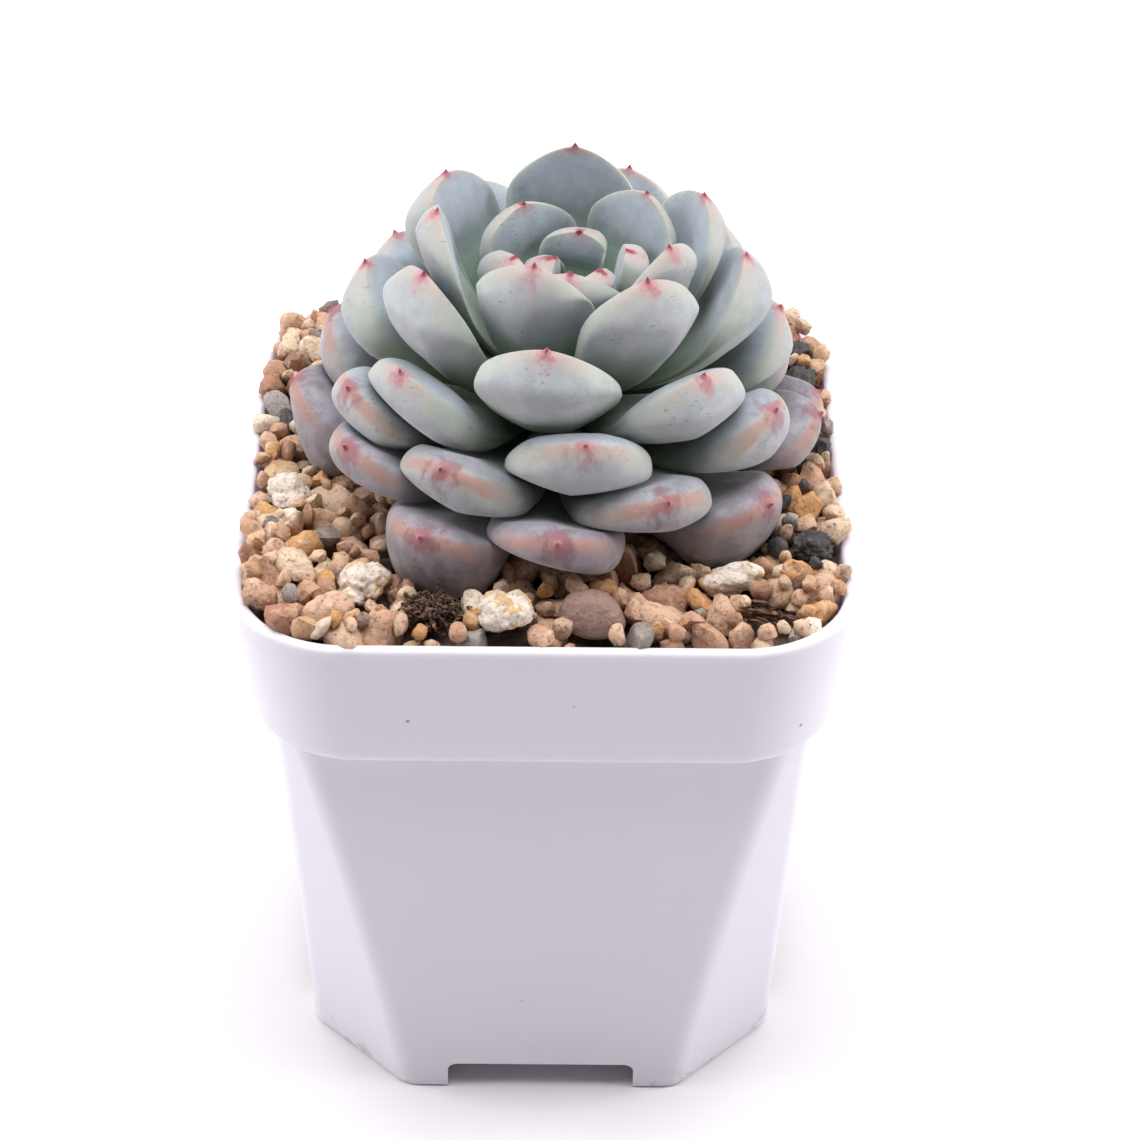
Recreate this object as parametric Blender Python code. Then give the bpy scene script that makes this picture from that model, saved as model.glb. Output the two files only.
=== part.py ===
"""A succulent rosette in a small square plant pot with a gravel topdressing.

Every named object is one physical piece: the pot, the soil, the stem, each leaf, and the large loose
stones lying on top. All sizes below are in millimetres and are turned into metres when a mesh is made.
The origin is on the table under the middle of the pot, +Z is up and -Y is the front.
"""

import math

import bmesh
import bpy
from mathutils import Vector, noise

MM = 0.001
GAP = 0.3                     # air left between any two pieces that touch

# Pot: a square cup with a deep rim band, cut corners and four notched feet
POT_WIDTH = 70.0              # across the rim
POT_HEIGHT = 72.0
BAND_HEIGHT = 17.5
BAND_TAPER = 2.0              # the band's half width shrinks by this from lip to lower edge
WALL = 1.6
LIP_RADIUS = 0.7
RIM_CORNER_RADIUS = 13.3
RIM_CORNER_LOSS = 1 - math.sqrt(0.5)    # what a round corner takes from a square one, for its radius
STEP_IN = 2.8                 # how far the body stands back under the band
BODY_TAPER = 2.1              # the body's half width shrinks by this down to the table
BODY_TOP_CUT = 3.3            # corner cut just under the band
BODY_FOOT_CUT = 11.8          # corner cut at the table
CUT_BULGE = 1.15              # above 1 the corner cut widens faster towards the table
BODY_EDGE_RADIUS = 4.0        # rounding where a flat side meets a cut corner
FOOT_HEIGHT = 4.0             # notch height, and the space under the floor
NOTCH_WIDTH = 22.5
NOTCH_CORNER = 1.2
FLOOR = 1.8
DRAIN_RADIUS = 2.6
DRAIN_RING = 13.0
DRAIN_COUNT = 6
ARC_STEPS = 3                 # straight pieces in each eighth of a turn
BODY_RINGS = 5

# Soil and its gravel cover
SOIL_BELOW_LIP = 1.9
SOIL_BUMP = 0.8
SOIL_BUMP_LENGTH = 5.0
SOIL_RINGS = 6                # rings of points over the top, down to a flat core of this share
SOIL_CORE = 0.06

# Rosette: leaves follow each other round a short stem by the golden angle, youngest first
LEAF_COUNT = 47
GOLDEN_ANGLE = 137.508
FIRST_LEAF_TURN = 167.4
PLANT_X = 1.1                 # where the plant's axis meets the level of the lip
PLANT_Y = 2.7
PLANT_LEAN = 3.2              # degrees towards +X
ROSETTE_REACH = 37.2          # the radius that the tips would tend to with endless age
REACH_AGE = 24.0
REACH_START = 1.04
TIP_HEIGHTS = ((-6, 22.5), (0, 26.9), (4, 29.3), (9, 33.9), (14, 32.2), (20, 26.0), (28, 18.3),
               (37, 11.5), (46, 6.8), (56, 1.0))    # age and height of the tips above the lip
STEM_FOOT_RADIUS = 5.2
STEM_TOP_RADIUS = 1.5
STEM_ABOVE_LIP = 18.0         # where the youngest leaf sits
STEM_LEAFY = 15.0             # stretch of stem that carries leaves
STEM_ROOTED = 9.0             # stretch of stem down in the soil
STEM_SIDES = 20
STEM_SWELL = 0.6              # below 1 the stem thickens fast under the bud, then slowly
SEAT_SPREAD = 0.75            # below 1 the youngest leaves stand further apart on the stem
BUD_START_CLIMB = 80.0        # degrees that the youngest leaf climbs where it leaves the stem
OLD_START_CLIMB = -2.0        # and what a very old leaf comes down to
START_CLIMB_AGE = 15.0
BUD_END_CLIMB = 88.0          # degrees that the youngest leaf climbs at its tip
OLD_END_CLIMB = 20.0
END_CLIMB_AGE = 35.0
END_CLIMB_HOLD = 1.9          # above 1 the tips stay upright longer, then bend out sooner
CURVE_ARM = 0.40              # how far the slopes at both ends reach into a leaf's curve
LEAF_HALF_WIDTH = 8.3
WIDTH_AGE = 4.5               # ages in which a leaf gains most of its width
WIDTH_START = 2.5             # ages of width that the youngest leaf has already
OLD_NARROWING = 0.12          # the oldest leaves are narrower by this share
NARROW_FROM = 36.0            # age at which they begin to be
NARROW_FOR = 10.0             # ages until they are
LEAF_THICK = 7.0
THICK_AGE = 6.0
THICK_START = 3.0
BASE_THICK_SHARE = 0.55       # thickness at the stem as a share of the fullest
THICKEST_AT = 0.7
EDGE_FULLNESS = 2.3           # a higher power keeps a leaf thick nearer to its margin
OLD_FROM = 12.0               # age from which a leaf's end grows rounder
OLD_FOR = 22.0                # ages until it is fully round
LEAF_UPPER_SHARE = 0.36       # part of the thickness above the leaf's middle surface, at the base
RIM_UPPER_SHARE = 0.08        # the same at the end of young leaves, whose upper face is nearly flat
OLD_UPPER_SHARE = 0.42        # and at the end of the oldest
FLATNESS = 0.6                # 0 curls a leaf round the stem like a pipe, 1 makes it flat across
FLAT_AGE = 5.0                # the bud's leaves are flat across for about so many ages
YOUNGER_SHARE = 0.62          # where between two leaves their shared surface runs
LEAF_BASE_SHARE = 0.40        # width at the base as a share of the widest
LEAF_WIDEST_AT = 0.64
LEAF_BLUNT_AT = 0.975         # where the leaf's rounded end would close without its point
POINT_HALF_WIDTH = 0.5        # at the leaf's blunt end
POINT_FLARE = 1.3
POINT_DEPTH = 1.7             # depth of the point for each unit of its half width
PRESS_GAP = 0.15              # each leaf keeps this from the surface it shares with a neighbour
BUD_PACKING = 0.001           # how strongly turning counts against age between leaves that touch
OLD_PACKING = 0.038
LEAST_APART = 0.1             # ages
EDGE_ROOM = 0.3               # ages of room on both sides below which a leaf goes no wider
LEAF_ROWS = (0.0, 0.2, 0.42, 0.64, 0.82, 0.93, 0.975)    # places along a leaf that have a ring
LEAF_COLUMNS = 4

# Leaves that their neighbours have pushed round from the even spiral, in degrees
LEAF_PUSHED = {
    1: 4, 2: -6, 3: -6, 5: -4, 6: -4, 7: -12, 10: -13, 11: 12, 12: 2, 13: -4, 14: 8, 16: 4, 17: 14,
    19: 3, 21: -4, 22: -2, 24: -6, 25: 3, 26: 2, 27: -5, 29: 12, 32: -6, 35: -6, 38: 3, 40: 2,
    42: -5, 45: 6,
}
# Leaves that have grown ahead of their turn, or behind it, in ages
LEAF_AHEAD = {
    1: 1.4, 3: 1.2, 4: -0.7, 6: -0.7, 8: 3.5, 11: -1.0, 14: -1.8, 15: 2.5, 18: 1.7, 19: -0.8,
    21: 1.8, 24: 0.6, 25: 0.7, 26: -0.8, 29: 1.4, 32: 0.7, 38: 2.0, 40: 0.6, 42: 1.3, 43: -0.9,
}

# Large loose pieces on the gravel: kind, x and y as shares of the room between the middle and the
# place where the piece would touch the rim, then length, width and height, the turn about Z and the
# roughness
LOOSE_PIECES = {
    "pumice_front": ("pumice", -0.134, -0.982, 6.6, 5.4, 5.4, 20, 0.16),
    "pumice_left": ("pumice", -0.685, -0.874, 7.2, 6.2, 5.6, 100, 0.18),
    "pumice_right": ("pumice", 0.744, -0.748, 7.6, 5.0, 4.0, 12, 0.14),
    "pumice_far_left": ("pumice", -0.971, -0.223, 6.2, 5.2, 4.6, 70, 0.15),
    "brown_pebble": ("pebble", 0.183, -0.976, 7.6, 6.4, 5.0, -10, 0.04),
    "lava_right": ("lava", 1.015, -0.527, 5.2, 4.4, 4.2, 30, 0.20),
    "lava_back_right": ("lava", 1.017, 0.611, 5.6, 4.4, 4.0, 80, 0.20),
    "peat_lump": ("peat", -0.407, -0.970, 8.6, 6.4, 4.2, 15, 0.22),
    "bark_chip": ("bark", 0.995, -1.066, 9.6, 3.2, 2.6, 150, 0.12),
    "flat_chip": ("chip", -0.990, -0.033, 5.4, 4.4, 2.2, 80, 0.10),
}


def material(name, colour, roughness):
    """One plain material with its colour, roughness and no metal."""
    made = bpy.data.materials.new(name)
    made.use_nodes = True
    shader = made.node_tree.nodes["Principled BSDF"]
    shader.inputs["Base Color"].default_value = (*colour, 1.0)
    shader.inputs["Roughness"].default_value = roughness
    shader.inputs["Metallic"].default_value = 0.0
    return made


def add_object(name, points, faces, finish, sharp_angle=40.0):
    """A named object from points in millimetres and faces that look outwards."""
    mesh = bpy.data.meshes.new(name)
    mesh.from_pydata([Vector(p) * MM for p in points], [], faces)
    mesh.materials.append(finish)
    work = bmesh.new()
    work.from_mesh(mesh)
    bmesh.ops.recalc_face_normals(work, faces=work.faces)
    work.to_mesh(mesh)
    work.free()
    mesh.shade_smooth()
    mesh.set_sharp_from_angle(angle=math.radians(sharp_angle))
    made = bpy.data.objects.new(name, mesh)
    bpy.context.scene.collection.objects.link(made)
    return made


def bridge_rings(rings, faces, first=0):
    """Quads between rings of equal length, stored one after another from point number first."""
    count = len(rings[0])
    for lower in range(len(rings) - 1):
        start = first + lower * count
        for k in range(count):
            after = (k + 1) % count
            faces.append((start + k, start + after, start + count + after, start + count + k))


def closed_stack(rings):
    """Points and faces of a body whose first and last rings are closed by flat caps."""
    points = [p for ring in rings for p in ring]
    faces = []
    bridge_rings(rings, faces)
    count = len(rings[0])
    faces.append(tuple(range(count)))
    faces.append(tuple(range(len(points) - count, len(points))))
    return points, faces


def cut_away(target, cutter):
    """Takes the cutter out of the target and hides the cutter."""
    cut = target.modifiers.new(cutter.name, "BOOLEAN")
    cut.operation = "DIFFERENCE"
    cut.solver = "EXACT"
    cut.object = cutter
    cutter.hide_render = True
    cutter.display_type = "WIRE"


# ---------------------------------------------------------------- pot

def pot_section(half, cut, edge_radius, z):
    """A square of the given half width whose corners are cut and whose edges are rounded.

    A cut and radius in the ratio of a full quarter turn give a plain rounded corner.
    """
    tangent = math.tan(math.radians(22.5))
    radius = min(edge_radius, cut * math.sqrt(2) / 2 / tangent)
    back = radius * tangent
    ring = []
    for quarter in range(4):
        turn = math.radians(90 * quarter)
        for start, (x, y) in ((0, (half - radius, half - cut - back)),
                              (45, (half - cut - back, half - radius))):
            for step in range(ARC_STEPS + 1):
                angle = math.radians(start + 45 * step / ARC_STEPS)
                px = x + radius * math.cos(angle)
                py = y + radius * math.sin(angle)
                ring.append((px * math.cos(turn) - py * math.sin(turn),
                             px * math.sin(turn) + py * math.cos(turn), z))
    return ring


def quarter_cut(radius):
    """The corner cut whose two edge roundings meet in one quarter turn of this radius."""
    return radius * (2 - math.sqrt(2))


def inner_cut(cut):
    """The corner cut of a section's inside, one wall in from its outside."""
    return cut - WALL * (2 - math.sqrt(2))


def body_shape(z):
    """Half width and corner cut of the pot's body at a height below the band."""
    top = POT_HEIGHT - BAND_HEIGHT
    share = z / top
    foot_half = POT_WIDTH / 2 - BAND_TAPER - STEP_IN - BODY_TAPER
    half = foot_half + BODY_TAPER * share
    cut = BODY_FOOT_CUT + (BODY_TOP_CUT - BODY_FOOT_CUT) * share ** CUT_BULGE
    return half, cut


def band_shape(z):
    """Half width and corner radius of the rim band."""
    down = max(POT_HEIGHT - LIP_RADIUS - z, 0.0) / (BAND_HEIGHT - LIP_RADIUS)
    return POT_WIDTH / 2 - BAND_TAPER * down, RIM_CORNER_RADIUS - BAND_TAPER / 2 * down


def cavity_shape(z):
    """Half width, corner cut and edge radius of the pot's inside at a height."""
    if z >= POT_HEIGHT - BAND_HEIGHT:
        half, radius = band_shape(z)
        return half - WALL, quarter_cut(radius - WALL), radius - WALL
    half, cut = body_shape(z)
    return half - WALL, inner_cut(cut), BODY_EDGE_RADIUS


def make_pot(finish):
    step_z = POT_HEIGHT - BAND_HEIGHT
    rings = []
    for z in (FOOT_HEIGHT, 0.0):                          # inside the feet, down to the table
        rings.append(pot_section(*cavity_shape(z), z))
    for k in range(BODY_RINGS + 1):                       # outside, up to the band
        z = step_z * k / BODY_RINGS
        half, cut = body_shape(z)
        rings.append(pot_section(half, cut, BODY_EDGE_RADIUS, z))
    for z in (step_z, POT_HEIGHT - LIP_RADIUS):
        half, radius = band_shape(z)
        rings.append(pot_section(half, quarter_cut(radius), radius, z))
    half, radius = band_shape(POT_HEIGHT)                 # rounded lip
    for inset in (LIP_RADIUS, WALL - LIP_RADIUS):
        rings.append(pot_section(half - inset, quarter_cut(radius - inset), radius - inset,
                                 POT_HEIGHT))
    for z in (POT_HEIGHT - LIP_RADIUS, step_z + WALL):    # inside, down to the floor
        rings.append(pot_section(*cavity_shape(z), z))
    half, cut = body_shape(step_z)
    rings.append(pot_section(half - WALL, inner_cut(cut), BODY_EDGE_RADIUS, step_z + WALL))
    floor_z = FOOT_HEIGHT + FLOOR
    for k in reversed(range(BODY_RINGS)):
        z = floor_z + (step_z - floor_z) * k / BODY_RINGS
        rings.append(pot_section(*cavity_shape(z), z))
    points, faces = closed_stack(rings)
    pot = add_object("pot", points, faces, finish, 25.0)
    for side in range(2):
        cut_away(pot, notch_cutter(side))
    for k in range(DRAIN_COUNT + 1):
        cut_away(pot, drain_cutter(k))
    return pot


def notch_cutter(side):
    """A bar with rounded upper edges that cuts the two opposite notches of one direction."""
    half = NOTCH_WIDTH / 2
    outline = [(-half, -1.0), (half, -1.0)]
    for start, x in ((0, half - NOTCH_CORNER), (90, NOTCH_CORNER - half)):
        for step in range(ARC_STEPS + 1):
            angle = math.radians(start + 90 * step / ARC_STEPS)
            outline.append((x + NOTCH_CORNER * math.cos(angle),
                            FOOT_HEIGHT - NOTCH_CORNER + NOTCH_CORNER * math.sin(angle)))
    ends = []
    for along in (-POT_WIDTH, POT_WIDTH):
        ends.append([(x, along, z) if side == 0 else (along, x, z) for x, z in outline])
    points, faces = closed_stack(ends)
    return add_object("notch_cutter_%d" % side, points, faces, None)


def drain_cutter(k):
    """A short round bar through the floor: one in the middle and a ring of others."""
    angle = 2 * math.pi * k / DRAIN_COUNT
    reach = DRAIN_RING if k < DRAIN_COUNT else 0.0
    x = reach * math.cos(angle)
    y = reach * math.sin(angle)
    ends = []
    for z in (FOOT_HEIGHT - 1.0, FOOT_HEIGHT + FLOOR + 1.0):
        ends.append([(x + DRAIN_RADIUS * math.cos(a), y + DRAIN_RADIUS * math.sin(a), z)
                     for a in (2 * math.pi * s / 16 for s in range(16))])
    points, faces = closed_stack(ends)
    return add_object("drain_cutter_%d" % k, points, faces, None)


# ---------------------------------------------------------------- soil

def plant_point(radius, angle, height):
    """From distance, direction and height in the plant's own upright axes to the leaning plant."""
    lean = math.radians(PLANT_LEAN)
    x = radius * math.cos(angle)
    up = height - POT_HEIGHT
    return (PLANT_X + x * math.cos(lean) + up * math.sin(lean), PLANT_Y + radius * math.sin(angle),
            POT_HEIGHT + up * math.cos(lean) - x * math.sin(lean))


def plant_ring(radius, height, start=0.0):
    """A ring of points about the plant's axis."""
    return [plant_point(radius, 2 * math.pi * (s + start) / STEM_SIDES, height)
            for s in range(STEM_SIDES)]


def soil_height(x, y):
    """The uneven top of the soil and its fine gravel."""
    bump = noise.noise(Vector((x, y, 3.7)) / SOIL_BUMP_LENGTH)
    return POT_HEIGHT - SOIL_BELOW_LIP + SOIL_BUMP * bump


def make_soil(finish):
    """Fills the pot up to its lip, a gap clear of the wall all round, with a socket for the stem."""
    step_z = POT_HEIGHT - BAND_HEIGHT
    floor_z = FOOT_HEIGHT + FLOOR + GAP
    ledge_z = step_z + WALL + GAP
    top = POT_HEIGHT - SOIL_BELOW_LIP
    rings = []
    for shape_z, z in ((floor_z, floor_z), (step_z - GAP, step_z - GAP), (step_z - GAP, ledge_z),
                       (ledge_z, ledge_z)):
        half, cut, radius = cavity_shape(shape_z)
        rings.append(pot_section(half - GAP, cut, radius, z))
    half, cut, radius = cavity_shape(top)
    rim = pot_section(half - GAP, cut, radius, top)
    for k in range(SOIL_RINGS):
        shrink = 1 - (1 - SOIL_CORE) * k / (SOIL_RINGS - 1)
        rings.append([(x * shrink, y * shrink, soil_height(x * shrink, y * shrink) if k else top)
                      for x, y, _ in rim])
    points, faces = closed_stack(rings)
    soil = add_object("soil", points, faces, finish)
    socket_radius = STEM_FOOT_RADIUS + GAP
    low = POT_HEIGHT - STEM_ROOTED - GAP
    points, faces = closed_stack([plant_ring(socket_radius, z, 0.5)
                                  for z in (low, POT_HEIGHT + STEM_ABOVE_LIP)])
    cut_away(soil, add_object("stem_socket", points, faces, None))
    return soil


# ---------------------------------------------------------------- stem and leaf surfaces

def stem_radius(age):
    share = (max(age, 0.0) / LEAF_COUNT) ** STEM_SWELL
    return STEM_TOP_RADIUS + (STEM_FOOT_RADIUS - STEM_TOP_RADIUS) * min(share, 1.0)


def seat_height(age):
    """Where on the stem a leaf of this age grows."""
    share = (max(age, 0.0) / LEAF_COUNT) ** SEAT_SPREAD
    return POT_HEIGHT + STEM_ABOVE_LIP - STEM_LEAFY * share


def make_stem(finish):
    """A short stem, thicker downwards, with a domed growing point."""
    outline = [(STEM_FOOT_RADIUS * 0.8, POT_HEIGHT - STEM_ROOTED),
               (STEM_FOOT_RADIUS, POT_HEIGHT - STEM_ROOTED + 1.0)]
    steps = 8
    for k in range(steps, -1, -1):
        age = LEAF_COUNT * k / steps
        outline.append((stem_radius(age), seat_height(age)))
    outline.append((STEM_TOP_RADIUS * 0.6, POT_HEIGHT + STEM_ABOVE_LIP + 0.5))
    points, faces = closed_stack([plant_ring(radius, z) for radius, z in outline])
    return add_object("stem", points, faces, finish)


def tip_reach(age):
    return ROSETTE_REACH * (1 - math.exp(-(age + REACH_START) / REACH_AGE))


def tip_height(age):
    """Tips climb from the bud to the crest of the rosette, then sink with age."""
    knots = TIP_HEIGHTS
    k = 1
    while k < len(knots) - 3 and age > knots[k + 1][0]:
        k += 1
    (a0, h0), (a1, h1), (a2, h2), (a3, h3) = knots[k - 1:k + 3]
    share = (age - a1) / (a2 - a1)
    slope1 = (h2 - h0) / (a2 - a0) * (a2 - a1)
    slope2 = (h3 - h1) / (a3 - a1) * (a2 - a1)
    rise = (3 - 2 * share) * share * share
    lean1 = share * (1 - share) ** 2
    lean2 = share * share * (share - 1)
    return POT_HEIGHT + h1 + (h2 - h1) * rise + slope1 * lean1 + slope2 * lean2


def end_slope(age):
    """The climb of a leaf at its tip: upright in the bud, nearly level in the oldest."""
    left = math.exp(-(max(age, 0.0) / END_CLIMB_AGE) ** END_CLIMB_HOLD)
    return math.radians(OLD_END_CLIMB + (BUD_END_CLIMB - OLD_END_CLIMB) * left)


def start_slope(age):
    """The climb of a leaf where it leaves the stem."""
    left = math.exp(-max(age, 0.0) / START_CLIMB_AGE)
    return math.radians(OLD_START_CLIMB + (BUD_START_CLIMB - OLD_START_CLIMB) * left)


def shell_point(age, u):
    """Radius and height on the middle surface of a leaf of this age, from the stem (0) to the tip (1).

    The surfaces of all ages nest inside each other like bowls and never cross.
    """
    r0 = stem_radius(age) + GAP
    z0 = seat_height(age)
    r3 = tip_reach(age)
    z3 = tip_height(age)
    arm = CURVE_ARM * math.hypot(r3 - r0, z3 - z0)
    r1 = r0 + arm * math.cos(start_slope(age))
    z1 = z0 + arm * math.sin(start_slope(age))
    r2 = r3 - arm * math.cos(end_slope(age))
    z2 = z3 - arm * math.sin(end_slope(age))
    v = 1 - u
    radius = v ** 3 * r0 + 3 * v * v * u * r1 + 3 * v * u * u * r2 + u ** 3 * r3
    height = v ** 3 * z0 + 3 * v * v * u * z1 + 3 * v * u * u * z2 + u ** 3 * z3
    return radius, height


def shell_depth(age, u):
    """What one age of depth means at a place on a leaf's middle surface.

    Gives the distance between the surfaces square to them, and how far along the leaf a point has
    to slip for each age of depth to stay square above or below its place.
    """
    ra, za = shell_point(age - 0.25, u)
    rb, zb = shell_point(age + 0.25, u)
    rc, zc = shell_point(age, u - 0.02)
    rd, zd = shell_point(age, u + 0.02)
    deeper_r = (rb - ra) / 0.5
    deeper_z = (zb - za) / 0.5
    along_r = (rd - rc) / 0.04
    along_z = (zd - zc) / 0.04
    length = math.hypot(along_r, along_z)
    spacing = abs(deeper_r * along_z - deeper_z * along_r) / length
    slip = -(deeper_r * along_r + deeper_z * along_z) / length ** 2
    return spacing, slip * min(u / 0.4, 1.0)


def leaf_age(leaf):
    """How old a leaf looks: its place in the order, younger or older by what it lags or leads."""
    return leaf + LEAF_AHEAD.get(leaf, 0.0)


def leaf_turn(leaf):
    return FIRST_LEAF_TURN + GOLDEN_ANGLE * leaf + LEAF_PUSHED.get(leaf, 0)


def wrap(angle):
    return (angle + 180) % 360 - 180


def smooth_step(share):
    share = min(max(share, 0.0), 1.0)
    return share * share * (3 - 2 * share)


def packing(age):
    """How strongly turning counts against age where two leaves press on each other."""
    return BUD_PACKING + (OLD_PACKING - BUD_PACKING) * smooth_step(age / LEAF_COUNT)


def room(leaf, turn, older):
    """Ages of free space above (younger) or below (older) a leaf, at a turn from its middle.

    Each pair of leaves shares one surface between them, and neither crosses it.
    """
    age = leaf_age(leaf)
    free = 30.0
    if not older:
        free = min(free, age + REACH_START * 0.7)
    for other in range(LEAF_COUNT):
        if other == leaf or ((leaf_age(other), other) > (age, leaf)) != older:
            continue
        apart = max(abs(leaf_age(other) - age), LEAST_APART)
        tightness = packing((leaf_age(other) + age) / 2)
        away = wrap(leaf_turn(leaf) + turn - leaf_turn(other))
        share = YOUNGER_SHARE if older else 1 - YOUNGER_SHARE
        free = min(free, apart * share + tightness * (away * away - turn * turn) / (2 * apart))
    return free


def turn_limit(leaf, side):
    """The turn from a leaf's middle, to one side, at which it meets its neighbours edge on."""
    turn = 1.0
    while turn < 80 and min(room(leaf, side * turn, False), room(leaf, side * turn, True)) > EDGE_ROOM:
        turn += 1.0
    return turn


def soft_min(a, b, sharpness=5):
    if min(a, b) <= 0:
        return 0.0
    return (a ** -sharpness + b ** -sharpness) ** (-1 / sharpness)


def soft_sum(a, b):
    """The larger of two sizes, blended where they are alike."""
    return (a ** 3 + b ** 3) ** (1 / 3)


def blunt_width(u):
    """Leaf width along its length: a narrow base and a broad spoon end."""
    u = min(u / LEAF_BLUNT_AT, 1.0)
    if u < LEAF_WIDEST_AT:
        share = u / LEAF_WIDEST_AT
        return LEAF_BASE_SHARE + (1 - LEAF_BASE_SHARE) * math.sin(math.pi / 2 * share) ** 1.3
    share = (u - LEAF_WIDEST_AT) / (1 - LEAF_WIDEST_AT)
    return math.sqrt(max(1 - share ** 2.1, 0.0))


def point_width(u):
    """Half width of the sharp point, which flares into the leaf's end."""
    flare = ((1 - u) / (1 - LEAF_BLUNT_AT)) ** POINT_FLARE
    return POINT_HALF_WIDTH * flare * min(max((u - 0.6) / 0.3, 0.0), 1.0)


def old_share(age):
    """0 for leaves of the bud and the crest, 1 for the oldest."""
    return smooth_step((age - OLD_FROM) / OLD_FOR)


def thickness_along(u, age):
    """Leaf thickness along its length, fullest in the spoon end and rounded off at the tip."""
    u = min(u / LEAF_BLUNT_AT, 1.0)
    grown = math.sin(math.pi / 2 * min(u / THICKEST_AT, 1.0))
    body = BASE_THICK_SHARE + (1 - BASE_THICK_SHARE) * grown
    old = old_share(age)
    return body * (1 - u ** (2.6 + 5 * old)) ** (0.85 - 0.3 * old)


def leaf_ring(leaf, u, limits):
    """Points round a leaf at one place along it: over the upper face and back under the lower."""
    age = leaf_age(leaf)
    ground = POT_HEIGHT - SOIL_BELOW_LIP + SOIL_BUMP + GAP
    narrowed = 1 - OLD_NARROWING * smooth_step((age - NARROW_FROM) / NARROW_FOR)
    half_width = LEAF_HALF_WIDTH * (1 - math.exp(-(age + WIDTH_START) / WIDTH_AGE)) * narrowed
    thick = LEAF_THICK * (1 - math.exp(-(age + THICK_START) / THICK_AGE))
    radius, _ = shell_point(age, u)
    spacing, slip = shell_depth(age, u)
    half = soft_sum(half_width * blunt_width(u), point_width(u))
    depth = soft_sum(thick * thickness_along(u, age), POINT_DEPTH * point_width(u))
    spread = math.degrees(half / max(radius, 1.0))
    wide = [soft_min(spread, limit) for limit in limits]
    end_share = RIM_UPPER_SHARE + (OLD_UPPER_SHARE - RIM_UPPER_SHARE) * old_share(age)
    upper_share = LEAF_UPPER_SHARE + (end_share - LEAF_UPPER_SHARE) * min(u / 0.6, 1.0)
    flatness = FLATNESS + (1 - FLATNESS) * math.exp(-age / FLAT_AGE)
    upper = []
    lower = []
    for column in range(-LEAF_COLUMNS, LEAF_COLUMNS + 1):
        v = math.sin(math.pi / 2 * column / LEAF_COLUMNS)
        bend = v * (wide[0] if v < 0 else wide[1])
        body = depth * max(1 - abs(v) ** EDGE_FULLNESS, 0.0) ** 0.6 / spacing
        curl = math.radians(min(abs(bend), 60))
        flat_shift = flatness * radius * (1 / math.cos(curl) - 1) / spacing
        flat_shift = soft_min(flat_shift, room(leaf, bend, True) - EDGE_ROOM + 0.05)
        for share, outwards, face in ((upper_share, -1, upper), (1 - upper_share, 1, lower)):
            free = room(leaf, bend, outwards > 0) - outwards * flat_shift - PRESS_GAP / spacing
            deep = flat_shift + outwards * soft_min(body * share, free)
            r, z = shell_point(age + deep, u + slip * deep)
            x, y, z = plant_point(r, math.radians(leaf_turn(leaf) + bend), z)
            face.append((x, y, max(z, ground)))
    return upper + lower[-2:0:-1]


def make_leaf(leaf, finish):
    """A plump leaf between its neighbours, pressed flat where it meets them."""
    limits = [turn_limit(leaf, side) for side in (-1, 1)]
    rings = [leaf_ring(leaf, u, limits) for u in LEAF_ROWS]
    points = [p for ring in rings for p in ring]
    faces = []
    bridge_rings(rings, faces)
    count = len(rings[0])
    for u, first in ((0.0, 0), (1.0, len(points) - count)):   # the middle of the base, and the point
        r, z = shell_point(leaf_age(leaf), u)
        points.append(plant_point(r, math.radians(leaf_turn(leaf)), z))
        end = len(points) - 1
        faces += [(first + k, first + (k + 1) % count, end) for k in range(count)]
    return add_object("leaf_%02d" % (leaf + 1), points, faces, finish, 60.0)


# ---------------------------------------------------------------- loose pieces

def make_loose(name, across, back, length, width, height, turn, rough, finish):
    """A weathered lump resting on the gravel."""
    c = math.cos(math.radians(turn))
    s = math.sin(math.radians(turn))
    lost_to_corner = RIM_CORNER_LOSS * (RIM_CORNER_RADIUS - WALL) * (across * back) ** 2
    room_inside = POT_WIDTH / 2 - WALL - GAP - lost_to_corner
    x = across * (room_inside - math.hypot(length * c, width * s) / 2)
    y = back * (room_inside - math.hypot(length * s, width * c) / 2)
    work = bmesh.new()
    bmesh.ops.create_icosphere(work, subdivisions=2, radius=1.0)
    seed = Vector((x, y, length))
    for vert in work.verts:
        direction = vert.co.normalized()
        knobs = noise.noise(direction * 1.7 + seed) + 0.5 * noise.noise(direction * 3.9 - seed)
        swell = 1 + rough * knobs
        vert.co = direction * swell
    lowest = min(vert.co.z for vert in work.verts)
    base = POT_HEIGHT - SOIL_BELOW_LIP + SOIL_BUMP + GAP
    points = []
    for vert in work.verts:
        px = vert.co.x * length / 2
        py = vert.co.y * width / 2
        pz = (vert.co.z - lowest) * height / 2
        points.append((x + px * c - py * s, y + px * s + py * c, base + pz))
    faces = [tuple(v.index for v in face.verts) for face in work.faces]
    work.free()
    return add_object(name, points, faces, finish, 70.0)


for leftover in list(bpy.data.objects):
    bpy.data.objects.remove(leftover, do_unlink=True)

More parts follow.
